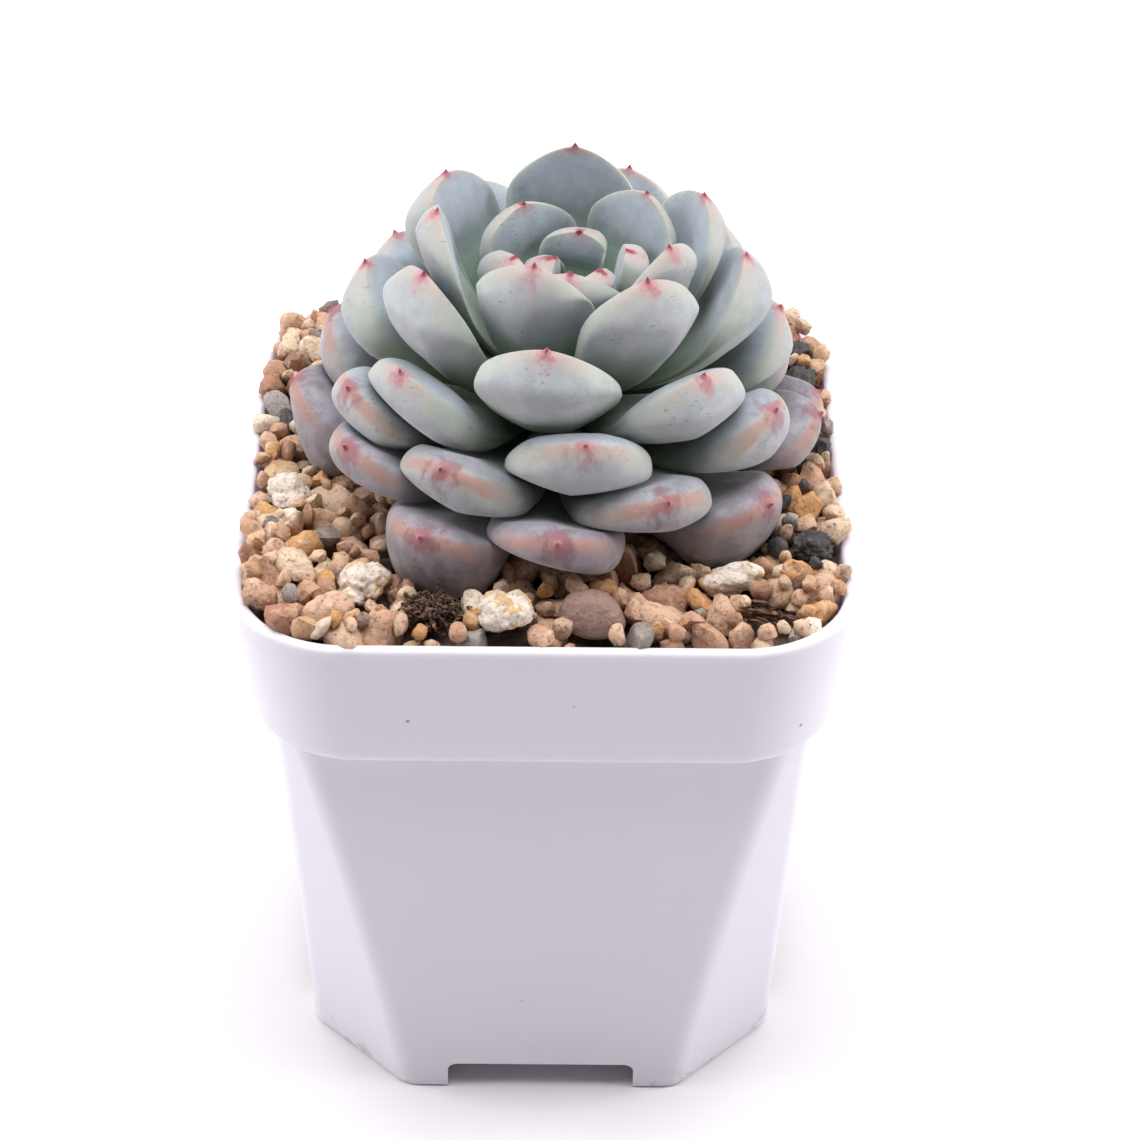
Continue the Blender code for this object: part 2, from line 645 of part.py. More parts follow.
make_pot(material("white_plastic", (0.78, 0.76, 0.80), 0.32))
make_soil(material("soil", (0.20, 0.13, 0.09), 0.95))
make_stem(material("stem", (0.32, 0.34, 0.20), 0.7))
leaf_finish = material("leaf", (0.36, 0.44, 0.40), 0.6)
for number in range(LEAF_COUNT):
    make_leaf(number, leaf_finish)
loose_finishes = {
    "pumice": material("pumice", (0.78, 0.72, 0.60), 0.9),
    "pebble": material("pebble", (0.42, 0.29, 0.23), 0.6),
    "lava": material("lava", (0.10, 0.10, 0.11), 0.9),
    "peat": material("peat", (0.12, 0.07, 0.05), 0.95),
    "bark": material("bark", (0.16, 0.09, 0.06), 0.9),
    "chip": material("chip", (0.66, 0.46, 0.30), 0.9),
}
for loose_name, (kind, *shape) in LOOSE_PIECES.items():
    make_loose(loose_name, *shape, loose_finishes[kind])
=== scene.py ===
"""A succulent rosette in a square white plant pot with a gravel topdressing, in a bright studio.

Sizes and places are in millimetres and become metres where a mesh is made. The origin is on the
table under the middle of the pot, +Z is up and -Y is the front.
"""

import math
import random

import bmesh
import bpy
import numpy as np
from mathutils import Matrix, Vector, noise
from mathutils.kdtree import KDTree


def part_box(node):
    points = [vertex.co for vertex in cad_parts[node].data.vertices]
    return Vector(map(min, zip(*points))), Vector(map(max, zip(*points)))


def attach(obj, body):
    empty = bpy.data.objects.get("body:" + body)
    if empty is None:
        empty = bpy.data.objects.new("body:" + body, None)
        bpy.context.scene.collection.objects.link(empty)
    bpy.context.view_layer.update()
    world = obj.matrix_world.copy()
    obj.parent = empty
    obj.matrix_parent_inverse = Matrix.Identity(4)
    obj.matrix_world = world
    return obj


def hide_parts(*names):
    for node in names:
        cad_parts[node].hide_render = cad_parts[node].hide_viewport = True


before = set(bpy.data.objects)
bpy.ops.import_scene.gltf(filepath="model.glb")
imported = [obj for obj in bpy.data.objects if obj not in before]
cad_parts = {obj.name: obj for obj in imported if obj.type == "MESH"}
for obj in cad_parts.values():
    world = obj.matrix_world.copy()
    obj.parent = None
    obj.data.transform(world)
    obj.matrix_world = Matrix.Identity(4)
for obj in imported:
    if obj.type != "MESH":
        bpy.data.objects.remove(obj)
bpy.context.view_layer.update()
MM = 0.001


# ---------------------------------------------------------------- pot
# A square cup of glossy, slightly translucent white plastic: a deep rim band, a body whose cut
# corners widen towards the table, four notched feet and drain holes. It is moulded in one piece.

class Wire:
    """A shader socket that takes arithmetic: each operator adds the node that works it out."""

    def __init__(self, paint, socket):
        self.paint = paint
        self.socket = socket

    def maths(self, operation, other):
        """A Math node of this operation on the socket and another one or a number."""
        return self.paint.node("ShaderNodeMath", {"operation": operation}, {0: self, 1: other})

    def __add__(self, other):
        return self.maths("ADD", other)

    def __sub__(self, other):
        return self.maths("SUBTRACT", other)

    def __rsub__(self, other):
        return (self * -1.0) + other

    def __mul__(self, other):
        return self.maths("MULTIPLY", other)

    __radd__ = __add__
    __rmul__ = __mul__

    def ramp(self, low, high):
        """0 up to low, 1 from high on (or the other way round), and smooth in between."""
        if low > high:
            return 1.0 - self.ramp(high, low)
        return self.paint.node("ShaderNodeMapRange", {"interpolation_type": "SMOOTHSTEP"},
                               {"Value": self, "From Min": low, "From Max": high})


class Paint:
    """A material being mixed: its node tree, its shader and the nodes that are added to it."""

    def __init__(self, name, **constants):
        self.material = bpy.data.materials.new(name)
        self.material.use_nodes = True
        self.tree = self.material.node_tree
        self.shader = self.tree.nodes["Principled BSDF"]
        self.sockets = {s.name.lower().replace(" ", "_"): s for s in self.shader.inputs}
        self.set(**constants)

    def set(self, **values):
        """Sets sockets of the shader, named in lower case with underscores."""
        for name, value in values.items():
            self.feed(self.sockets[name], value)

    def feed(self, socket, value):
        """A value, a colour or another node's output goes into a socket."""
        if isinstance(value, Wire):
            self.tree.links.new(value.socket, socket)
        elif isinstance(value, tuple) and len(value) == 3 and len(socket.default_value) == 4:
            socket.default_value = (*value, 1.0)
        else:
            socket.default_value = value

    def node(self, kind, settings, values, output=0):
        """A node of a kind with its settings and socket values; gives one of its outputs."""
        made = self.tree.nodes.new(kind)
        for name, value in settings.items():
            setattr(made, name, value)
        for name, value in values.items():
            self.feed(made.inputs[name], value)
        return Wire(self, made.outputs[output])

    def place(self, stretch=(1.0, 1.0, 1.0)):
        """Where a point of the piece is, in millimetres, stretched along the axes."""
        where = self.node("ShaderNodeTexCoord", {}, {}, "Object")
        return self.node("ShaderNodeVectorMath", {"operation": "MULTIPLY"},
                         {0: where, 1: tuple(share / MM for share in stretch)}, "Vector")

    def clouds(self, size, detail=3.0, rough=0.5, where=None):
        """Noise from 0 to 1 with patches of about this size in millimetres."""
        return self.node("ShaderNodeTexNoise", {},
                         {"Vector": where or self.place(), "Scale": 1 / size, "Detail": detail,
                          "Roughness": rough}, "Fac")

    def cells(self, size):
        """Distance from the middle of scattered cells of about this size in millimetres."""
        return self.node("ShaderNodeTexVoronoi", {},
                         {"Vector": self.place(), "Scale": 1 / size}, "Distance")

    def attribute(self, name):
        """A number that is stored at each point of the mesh."""
        return self.node("ShaderNodeAttribute", {"attribute_name": name}, {}, "Fac")

    def mix(self, share, low, high):
        """The colour low where share is 0 and high where it is 1."""
        return self.node("ShaderNodeMix", {"data_type": "RGBA"}, {0: share, 6: low, 7: high}, 2)

    def bump(self, height, distance):
        """Relief in millimetres, on top of any that the shader has already."""
        values = {"Height": height, "Distance": distance * MM, "Strength": 1.0}
        earlier = self.shader.inputs["Normal"]
        if earlier.is_linked:
            values["Normal"] = Wire(self, earlier.links[0].from_socket)
        self.feed(earlier, self.node("ShaderNodeBump", {}, values, "Normal"))


def add_piece(name, points, faces, paint, slot, sharp_angle=180.0):
    """A smooth-shaded object from points in millimetres, riding on the body."""
    mesh = bpy.data.meshes.new(name)
    mesh.from_pydata([Vector(p) * MM for p in points], [], faces)
    mesh.materials.append(paint.material)
    mesh.shade_smooth()
    if sharp_angle < 180:
        mesh.set_sharp_from_angle(angle=math.radians(sharp_angle))
    piece = bpy.data.objects.new(name, mesh)
    bpy.context.scene.collection.objects.link(piece)
    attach(piece, "root")
    return piece


pot_low, pot_high = (Vector(corner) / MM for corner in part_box("pot"))
POT_HEIGHT = pot_high.z - pot_low.z
POT_WIDTH = pot_high.x - pot_low.x
BAND_HEIGHT = 17.5
BAND_TAPER = 2.0              # the band's half width shrinks by this from lip to lower edge
BAND_EDGE_RADIUS = 1.5
WALL = 1.6
LIP_RADIUS = 0.7
RIM_CORNER_RADIUS = 13.3
STEP_IN = 2.8                 # how far the body stands back under the band
BODY_TAPER = 2.1
BODY_TOP_CUT = 3.3            # corner cut just under the band
BODY_FOOT_CUT = 11.8          # corner cut at the table
CUT_BULGE = 1.15              # above 1 the corner cut widens faster towards the table
BODY_EDGE_RADIUS = 4.0
FOOT_HEIGHT = 4.0
NOTCH_WIDTH = 22.5
NOTCH_CORNER = 1.2
FLOOR = 1.8
DRAIN_RADIUS = 2.6
DRAIN_RING = 13.0
DRAIN_COUNT = 6
DRAIN_SIDES = 32
ARC_STEPS = 10                # straight pieces in each eighth of a turn
BODY_RINGS = 12
FOOT_ROUNDING = 0.35
EDGE_STEPS = 5                # straight pieces in each rounded edge of the band and the lip


def bridge_rings(rings, faces, first=0):
    """Quads between rings of equal length, stored one after another from point number first."""
    count = len(rings[0])
    for lower in range(len(rings) - 1):
        start = first + lower * count
        for k in range(count):
            after = (k + 1) % count
            faces.append((start + k, start + after, start + count + after, start + count + k))


def closed_stack(rings):
    """Points and faces of a body whose first and last rings are closed by flat caps."""
    points = [p for ring in rings for p in ring]
    faces = []
    bridge_rings(rings, faces)
    count = len(rings[0])
    faces.append(tuple(reversed(range(count))))
    faces.append(tuple(range(len(points) - count, len(points))))
    return points, faces


def pot_section(half, cut, edge_radius, z):
    """A square of the given half width whose corners are cut and whose edges are rounded."""
    tangent = math.tan(math.radians(22.5))
    radius = min(edge_radius, cut * math.sqrt(2) / 2 / tangent)
    back = radius * tangent
    ring = []
    for quarter in range(4):
        turn = Matrix.Rotation(math.radians(90 * quarter), 3, "Z")
        for start, (x, y) in ((0, (half - radius, half - cut - back)),
                              (45, (half - cut - back, half - radius))):
            for step in range(ARC_STEPS + 1):
                angle = math.radians(start + 45 * step / ARC_STEPS)
                ring.append(turn @ Vector((x + radius * math.cos(angle),
                                           y + radius * math.sin(angle), z)))
    return ring


def quarter_cut(radius):
    """The corner cut whose two edge roundings meet in one quarter turn of this radius."""
    return radius * (2 - math.sqrt(2))


def band_shape(z):
    """Half width and corner radius of the rim band."""
    down = max(POT_HEIGHT - LIP_RADIUS - z, 0.0) / (BAND_HEIGHT - LIP_RADIUS)
    return POT_WIDTH / 2 - BAND_TAPER * down, RIM_CORNER_RADIUS - BAND_TAPER / 2 * down


def band_ring(z, inset=0.0):
    """The outline of the rim band at a height, or as far inside it as the inset."""
    half, radius = band_shape(z)
    return pot_section(half - inset, quarter_cut(radius - inset), radius - inset, z)


def body_shape(z):
    """Half width and corner cut of the pot's body at a height below the band."""
    share = z / (POT_HEIGHT - BAND_HEIGHT)
    foot_half = POT_WIDTH / 2 - BAND_TAPER - STEP_IN - BODY_TAPER
    cut = BODY_FOOT_CUT + (BODY_TOP_CUT - BODY_FOOT_CUT) * share ** CUT_BULGE
    return foot_half + BODY_TAPER * share, cut


def body_ring(z, inset=0.0):
    """The outline of the body at a height, or as far inside it as the inset."""
    half, cut = body_shape(z)
    return pot_section(half - inset, cut - quarter_cut(inset), BODY_EDGE_RADIUS, z)


def quarter_steps(count):
    """Sines and cosines over a quarter turn, ends included."""
    angles = [math.pi / 2 * k / count for k in range(count + 1)]
    return [(math.sin(a), math.cos(a)) for a in angles]


def pot_rings():
    """From the underside of the floor out over the body, band and lip, and back down inside."""
    step_z = POT_HEIGHT - BAND_HEIGHT
    rings = [body_ring(FOOT_HEIGHT, WALL), body_ring(FOOT_ROUNDING, WALL),
             body_ring(0, WALL - FOOT_ROUNDING), body_ring(0, FOOT_ROUNDING)]
    rings += [body_ring(FOOT_ROUNDING + (step_z - FOOT_ROUNDING) * k / BODY_RINGS)
              for k in range(BODY_RINGS + 1)]
    for s, c in quarter_steps(EDGE_STEPS):                         # the band's rounded lower edge
        rings.append(band_ring(step_z + BAND_EDGE_RADIUS * (1 - c), BAND_EDGE_RADIUS * (1 - s)))
    for k in range(1, 5):
        rings.append(band_ring(step_z + BAND_EDGE_RADIUS
                               + (BAND_HEIGHT - BAND_EDGE_RADIUS - LIP_RADIUS) * k / 5))
    for s, c in quarter_steps(EDGE_STEPS):                         # the lip
        rings.append(band_ring(POT_HEIGHT - LIP_RADIUS * (1 - s), LIP_RADIUS * (1 - c)))
    for s, c in quarter_steps(EDGE_STEPS):
        rings.append(band_ring(POT_HEIGHT - LIP_RADIUS * (1 - c), WALL - LIP_RADIUS * (1 - s)))
    rings += [band_ring(step_z + WALL, WALL), body_ring(step_z, WALL)]
    floor_z = FOOT_HEIGHT + FLOOR
    rings += [body_ring(floor_z + (step_z - floor_z) * k / 4, WALL) for k in (3, 2, 1, 0)]
    return rings


def cut_away(target, name, ends):
    """Takes a bar, given by its two end outlines, out of the target."""
    points, faces = closed_stack(ends)
    mesh = bpy.data.meshes.new(name)
    mesh.from_pydata([Vector(p) * MM for p in points], [], faces)
    work = bmesh.new()
    work.from_mesh(mesh)
    bmesh.ops.recalc_face_normals(work, faces=work.faces)
    work.to_mesh(mesh)
    work.free()
    cutter = bpy.data.objects.new(name, mesh)
    bpy.context.scene.collection.objects.link(cutter)
    cut = target.modifiers.new(name, "BOOLEAN")
    cut.operation = "DIFFERENCE"
    cut.solver = "EXACT"
    cut.object = cutter
    bpy.context.view_layer.update()
    finished = target.evaluated_get(bpy.context.evaluated_depsgraph_get())
    target.data = bpy.data.meshes.new_from_object(finished)
    target.modifiers.clear()
    bpy.data.objects.remove(cutter, do_unlink=True)


def notch_bar(across):
    """The two ends of a bar with rounded upper edges that cuts two opposite notches."""
    half = NOTCH_WIDTH / 2
    outline = [(-half, -1.0), (half, -1.0)]
    for start, x in ((0, half - NOTCH_CORNER), (90, NOTCH_CORNER - half)):
        for step in range(7):
            angle = math.radians(start + 90 * step / 6)
            outline.append((x + NOTCH_CORNER * math.cos(angle),
                            FOOT_HEIGHT - NOTCH_CORNER + NOTCH_CORNER * math.sin(angle)))
    return [[(along, x, z) if across else (x, along, z) for x, z in outline]
            for along in (-POT_WIDTH, POT_WIDTH)]


def drain_bar(x, y):
    """The two ends of a round bar that cuts one drain hole through the floor."""
    circle = [(x + DRAIN_RADIUS * math.cos(a), y + DRAIN_RADIUS * math.sin(a))
              for a in (2 * math.pi * s / DRAIN_SIDES for s in range(DRAIN_SIDES))]
    floor_low, floor_high = FOOT_HEIGHT, FOOT_HEIGHT + FLOOR
    return [[(px, py, z) for px, py in circle] for z in (floor_low - 1.0, floor_high + 1.0)]


plastic = Paint("white_plastic", ior=1.49, subsurface_weight=0.25, subsurface_scale=0.004,
                subsurface_radius=(1.0, 0.8, 0.9), specular_ior_level=0.45)

# Small specks of dirt, and more of it washed down to the foot
specks = plastic.cells(6.0).ramp(0.060, 0.02) * plastic.clouds(9).ramp(0.49, 0.56)
height = plastic.node("ShaderNodeSeparateXYZ", {}, {"Vector": plastic.place()}, "Z")
dirt = height.ramp(7.0, 0.0) * (plastic.clouds(2.2, 5) - height * 0.012).ramp(0.56, 0.66)
tone = plastic.mix(plastic.clouds(22, 2), (0.70, 0.674, 0.748), (0.68, 0.655, 0.73))
soiled = plastic.mix(dirt * 0.35, tone, (0.30, 0.20, 0.14))
plastic.set(base_color=plastic.mix(specks * 0.8, soiled, (0.16, 0.12, 0.10)),
            roughness=plastic.clouds(5, 3) * 0.08 + 0.28)
plastic.bump(plastic.clouds(16, 0), 0.02)

pot = add_piece("pot_shell", *closed_stack(pot_rings()), plastic, "white_plastic")
for across in (False, True):
    cut_away(pot, "notch_cutter", notch_bar(across))
cut_away(pot, "drain_cutter", drain_bar(0, 0))
for k in range(DRAIN_COUNT):
    angle = 2 * math.pi * k / DRAIN_COUNT
    cut_away(pot, "drain_cutter", drain_bar(DRAIN_RING * math.cos(angle), DRAIN_RING * math.sin(angle)))
pot.data.shade_smooth()
pot.data.set_sharp_from_angle(angle=math.radians(35))
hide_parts("pot")


# ---------------------------------------------------------------- soil and stem
# Dark, gritty potting soil fills the pot under the gravel. The short stem stands rooted in it and is
# hidden by the leaves that grow from it. Both keep their solids and get their own finish.

soil = Paint("soil", roughness=0.95)
soil.set(base_color=soil.mix(soil.clouds(2.2, 5).ramp(0.35, 0.7), (0.035, 0.022, 0.015),
                             (0.16, 0.10, 0.065)))
soil.bump(soil.cells(1.4), 0.5)
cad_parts["soil"].material_slots[0].material = soil.material

stem = Paint("stem", roughness=0.75)
stem.set(base_color=stem.mix(stem.clouds(1.8, 4).ramp(0.35, 0.65), (0.13, 0.14, 0.07),
                             (0.24, 0.20, 0.12)))
stem.bump(stem.clouds(0.8, 4), 0.15)
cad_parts["stem"].material_slots[0].material = stem.material


# ---------------------------------------------------------------- leaves
# Thick, water-filled leaves with a blunt end and a small sharp point, pressed against each other as
# they grow out of the stem by the golden angle. A powdery bloom greys the green and rubs off in
# scratches; the margins flush pink and the points are crimson.

LEAF_COUNT = sum(1 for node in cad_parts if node.startswith("leaf_"))
GOLDEN_ANGLE = 137.508
FIRST_LEAF_TURN = 167.4
PLANT_X = 1.1                 # where the plant's axis meets the level of the lip
PLANT_Y = 2.7
PLANT_LEAN = 3.2              # degrees towards +X
ROSETTE_REACH = 37.2          # the radius that the tips would tend to with endless age
REACH_AGE = 24.0
REACH_START = 1.04
TIP_HEIGHTS = ((-6, 22.5), (0, 26.9), (4, 29.3), (9, 33.9), (14, 32.2), (20, 26.0), (28, 18.3),
               (37, 11.5), (46, 6.8), (56, 1.0))    # age and height of the tips above the lip
# Leaves that their neighbours have pushed round from the even spiral, in degrees
LEAF_PUSHED = {
    1: 4, 2: -6, 3: -6, 5: -4, 6: -4, 7: -12, 10: -13, 11: 12, 12: 2, 13: -4, 14: 8, 16: 4, 17: 14,
    19: 3, 21: -4, 22: -2, 24: -6, 25: 3, 26: 2, 27: -5, 29: 12, 32: -6, 35: -6, 38: 3, 40: 2,
    42: -5, 45: 6,
}
# Leaves that have grown ahead of or behind their turn, in ages
LEAF_AHEAD = {
    1: 1.4, 3: 1.2, 4: -0.7, 6: -0.7, 8: 3.5, 11: -1.0, 14: -1.8, 15: 2.5, 18: 1.7, 19: -0.8,
    21: 1.8, 24: 0.6, 25: 0.7, 26: -0.8, 29: 1.4, 32: 0.7, 38: 2.0, 40: 0.6, 42: 1.3, 43: -0.9,
}
STEM_FOOT_RADIUS = 5.2
STEM_TOP_RADIUS = 1.5
STEM_ABOVE_LIP = 18.0
STEM_LEAFY = 15.0
STEM_SWELL = 0.6              # how the stem thickens down its length
SEAT_SPREAD = 0.75            # how the leaves' seats are spaced down it
BUD_START_CLIMB = 80          # degrees that a leaf climbs where it leaves the stem, in the bud
OLD_START_CLIMB = -2          # and in the oldest leaves
START_CLIMB_AGE = 15
BUD_END_CLIMB = 88            # the same at its tip
OLD_END_CLIMB = 20
END_CLIMB_AGE = 35
END_CLIMB_HOLD = 1.9
CURVE_ARM = 0.40              # length of the curve's two arms, as a part of the leaf
GAP = 0.3                     # from the stem to where the leaves' middle surfaces start
YOUTH_AGE = 7.0
OLD_FROM = 12.0               # leaves turn from the young shape to the old over these ages
OLD_FOR = 22.0
LEAF_HALF_WIDTH = 8.3
WIDTH_START = 2.5
WIDTH_AGE = 4.5
LEAF_THICK = 7.0
THICK_START = 3.0
THICK_AGE = 6.0
BASE_THICK_SHARE = 0.55
THICKEST_AT = 0.7
EDGE_FULLNESS = 2.5           # a larger one keeps the leaf thick further out
EDGE_ROUNDING = 0.54          # a larger one brings the margin to a thinner edge
LEAF_UPPER_SHARE = 0.36       # part of the thickness above the leaf's middle surface, at the base
RIM_UPPER_SHARE = 0.08        # the same at the end of young leaves, whose upper face is nearly flat
OLD_UPPER_SHARE = 0.42        # and at the end of the oldest
FLATNESS = 0.6                # 0 curls a leaf round the stem like a pipe, 1 makes it flat across
FLAT_AGE = 5.0                # the youngest are nearly flat
YOUNGER_SHARE = 0.62          # where between two leaves their shared surface runs
LEAF_BASE_SHARE = 0.40
LEAF_WIDEST_AT = 0.64
LEAF_BLUNT_AT = 0.975         # where the leaf's rounded end would close without its point
BASE_WIDENING = 1.3           # a larger one keeps the base narrow for longer
END_BREADTH = 2.1             # a larger one makes the spoon end broader
TIP_FULLNESS = 2.6            # a larger one keeps the leaf thick nearer to its tip
OLD_TIP_FULLNESS = 7.6
POINT_HALF_WIDTH = 0.5        # at the leaf's blunt end
POINT_FLARE = 1.3
POINT_DEPTH = 1.7             # the point is thicker than it is wide by this factor
PRESS_GAP = 0.15
BUD_PACKING = 0.001           # how strongly turning counts against age between leaves that touch
OLD_PACKING = 0.038
OLD_NARROWING = 0.12          # the oldest leaves are narrower by this share
NARROW_FROM = 36.0
NARROW_FOR = 10.0
MOST_ROOM = 30.0              # ages of free space round a leaf that nothing presses on
LEAST_ROOM = 0.3              # ages of free space at which a leaf's margin ends
GROUND_LEVEL = POT_HEIGHT - 0.8
LEAF_COLUMNS = 14             # from the middle to each margin


def ease(share):
    """Smoothly from 0 at a share of 0 to 1 at a share of 1."""
    share = min(max(share, 0.0), 1.0)
    return share * share * (3 - 2 * share)


def stem_radius(age):
    """The stem's radius where a leaf of this age grows."""
    share = (np.maximum(age, 0.0) / LEAF_COUNT) ** STEM_SWELL
    return STEM_TOP_RADIUS + (STEM_FOOT_RADIUS - STEM_TOP_RADIUS) * np.minimum(share, 1.0)


def seat_height(age):
    """Where on the stem a leaf of this age grows."""
    share = (np.maximum(age, 0.0) / LEAF_COUNT) ** SEAT_SPREAD
    return POT_HEIGHT + STEM_ABOVE_LIP - STEM_LEAFY * share


def tip_reach(age):
    """How far the tip of a leaf is from the plant's axis."""
    return ROSETTE_REACH * (1 - np.exp(-(age + REACH_START) / REACH_AGE))


def tip_height(age):
    """Tips climb from the bud to the crest of the rosette, then sink with age."""
    ages, heights = np.array(TIP_HEIGHTS).T
    k = np.clip(np.searchsorted(ages, age) - 1, 1, len(ages) - 3)
    a0, a1, a2, a3 = (ages[k + step] for step in (-1, 0, 1, 2))
    h0, h1, h2, h3 = (heights[k + step] for step in (-1, 0, 1, 2))
    share = (age - a1) / (a2 - a1)
    slope1 = (h2 - h0) / (a2 - a0) * (a2 - a1)
    slope2 = (h3 - h1) / (a3 - a1) * (a2 - a1)
    return (POT_HEIGHT + h1 + (h2 - h1) * (3 - 2 * share) * share ** 2
            + slope1 * share * (1 - share) ** 2 + slope2 * share ** 2 * (share - 1))


def end_slope(age):
    """The climb of a leaf at its tip: upright in the bud, nearly level in the oldest."""
    fading = np.exp(-(np.maximum(age, 0.0) / END_CLIMB_AGE) ** END_CLIMB_HOLD)
    return np.radians(OLD_END_CLIMB + (BUD_END_CLIMB - OLD_END_CLIMB) * fading)


def start_slope(age):
    """The climb of a leaf where it leaves the stem."""
    fading = np.exp(-np.maximum(age, 0.0) / START_CLIMB_AGE)
    return np.radians(OLD_START_CLIMB + (BUD_START_CLIMB - OLD_START_CLIMB) * fading)


def shell_point(age, u):
    """Radius and height on a leaf's middle surface, from the stem (0) to the tip (1)."""
    r0 = stem_radius(age) + GAP
    z0 = seat_height(age)
    r3 = tip_reach(age)
    z3 = tip_height(age)
    arm = CURVE_ARM * np.hypot(r3 - r0, z3 - z0)
    r1 = r0 + arm * np.cos(start_slope(age))
    z1 = z0 + arm * np.sin(start_slope(age))
    r2 = r3 - arm * np.cos(end_slope(age))
    z2 = z3 - arm * np.sin(end_slope(age))
    v = 1 - u
    radius = v ** 3 * r0 + 3 * v * v * u * r1 + 3 * v * u * u * r2 + u ** 3 * r3
    height = v ** 3 * z0 + 3 * v * v * u * z1 + 3 * v * u * u * z2 + u ** 3 * z3
    return radius, height


def shell_depth(age, u):
    """The distance between surfaces one age apart, and the slip along them that keeps it square."""
    age_step = 0.25
    u_step = 0.02
    younger_r, younger_z = shell_point(age - age_step, u)
    older_r, older_z = shell_point(age + age_step, u)
    inner_r, inner_z = shell_point(age, u - u_step)
    outer_r, outer_z = shell_point(age, u + u_step)
    deeper_r = (older_r - younger_r) / (2 * age_step)
    deeper_z = (older_z - younger_z) / (2 * age_step)
    along_r = (outer_r - inner_r) / (2 * u_step)
    along_z = (outer_z - inner_z) / (2 * u_step)
    length = np.hypot(along_r, along_z)
    spacing = np.abs(deeper_r * along_z - deeper_z * along_r) / length
    slip = -(deeper_r * along_r + deeper_z * along_z) / length ** 2
    return spacing, slip * np.minimum(u / 0.4, 1.0)


leaf_ages = [k + LEAF_AHEAD.get(k, 0.0) for k in range(LEAF_COUNT)]
leaf_turns = [FIRST_LEAF_TURN + GOLDEN_ANGLE * k + LEAF_PUSHED.get(k, 0)
              for k in range(LEAF_COUNT)]


def packing(age):
    """How strongly turning counts against age where two leaves press on each other."""
    return BUD_PACKING + (OLD_PACKING - BUD_PACKING) * ease(age / LEAF_COUNT)


def room(leaf, turn, older):
    """Ages of free space above (younger) or below (older) a leaf, at turns from its middle."""
    age = leaf_ages[leaf]
    free = np.full(np.shape(turn), MOST_ROOM)
    if not older:
        free = np.minimum(free, age + REACH_START * 0.7)
    for other in range(LEAF_COUNT):
        if other == leaf or ((leaf_ages[other], other) > (age, leaf)) != older:
            continue
        apart = max(abs(leaf_ages[other] - age), 0.1)
        tightness = packing((leaf_ages[other] + age) / 2)
        away = (leaf_turns[leaf] + turn - leaf_turns[other] + 180) % 360 - 180
        share = YOUNGER_SHARE if older else 1 - YOUNGER_SHARE
        free = np.minimum(free, apart * share + tightness * (away ** 2 - turn ** 2) / (2 * apart))
    return free


def turn_limit(leaf, side):
    """The turn from a leaf's middle, to one side, at which it meets its neighbours edge on."""
    turns = np.arange(1.0, 81.0)
    tightest = np.minimum(room(leaf, side * turns, False), room(leaf, side * turns, True))
    return turns[np.argmax(np.append(tightest[:-1] <= LEAST_ROOM, True))]


def soft_min(a, b, sharpness=5):
    """The smaller of two values, rounded off where they are nearly equal."""
    a = np.maximum(a, 1e-6)
    b = np.maximum(b, 1e-6)
    return (a ** -sharpness + b ** -sharpness) ** (-1 / sharpness)


def youth(age):
    """1 in the bud, falling off over the first dozen leaves."""
    return math.exp(-max(age, 0) / YOUTH_AGE)


def blunt_width(u, age):
    """Leaf width along its length: a narrow base and a broad spoon end, more pointed in the bud."""
    u = u / LEAF_BLUNT_AT
    grown = np.sin(math.pi / 2 * np.clip(u / LEAF_WIDEST_AT, 0.0, 1.0)) ** BASE_WIDENING
    share = np.clip((u - LEAF_WIDEST_AT) / (1 - LEAF_WIDEST_AT), 0.0, 1.0)
    closing = (1 - share ** (END_BREADTH - 0.4 * youth(age))) ** (0.5 + 0.2 * youth(age))
    return np.where(u < LEAF_WIDEST_AT, LEAF_BASE_SHARE + (1 - LEAF_BASE_SHARE) * grown, closing)


def point_width(u):
    """Half width of the sharp point, which flares into the leaf's end."""
    taper = ((1 - u) / (1 - LEAF_BLUNT_AT)) ** POINT_FLARE
    return POINT_HALF_WIDTH * taper * np.clip((u - 0.6) / 0.3, 0, 1)


def old_share(age):
    """0 for leaves of the bud and the crest, 1 for the oldest."""
    return ease((age - OLD_FROM) / OLD_FOR)


def thickness_along(u, age):
    """Leaf thickness along its length, fullest in the spoon end and rounded off at the tip."""
    u = np.minimum(u / LEAF_BLUNT_AT, 1.0)
    swelling = np.sin(math.pi / 2 * np.minimum(u / THICKEST_AT, 1.0))
    body = BASE_THICK_SHARE + (1 - BASE_THICK_SHARE) * swelling
    old = old_share(age)
    fullness = TIP_FULLNESS + (OLD_TIP_FULLNESS - TIP_FULLNESS) * old
    return body * (1 - u ** fullness) ** (0.85 - 0.3 * old + 0.35 * youth(age))


def plant_point(radius, angle, height):
    """From distance, direction and height in the plant's own upright axes to the leaning plant."""
    lean = math.radians(PLANT_LEAN)
    x = radius * np.cos(angle)
    up = height - POT_HEIGHT
    return np.stack([PLANT_X + x * math.cos(lean) + up * math.sin(lean),
                     PLANT_Y + radius * np.sin(angle),
                     POT_HEIGHT + up * math.cos(lean) - x * math.sin(lean)], -1)


def leaf_rows():
    """Places along a leaf, close together where the end rounds off into the point."""
    closing_from = 0.78
    blade = np.linspace(0.0, closing_from, 16)[:-1]
    closing = np.sin(math.pi / 2 * np.linspace(0, 1, 20))[:-1]
    rounding = closing_from + (LEAF_BLUNT_AT - closing_from) * closing
    point = np.linspace(LEAF_BLUNT_AT, 1.0, 9)
    return np.concatenate([blade, rounding, point])[:, None]


def blend(blade, point):
    """The larger of the blade's and the point's size, with a smooth change between them."""
    return (blade ** 3 + point ** 3) ** (1 / 3)


def both_faces(upper, lower):
    """One ring from the upper face's row and the lower face's, without doubling the margins."""
    return np.concatenate([upper, lower[:, -2:0:-1]], 1)


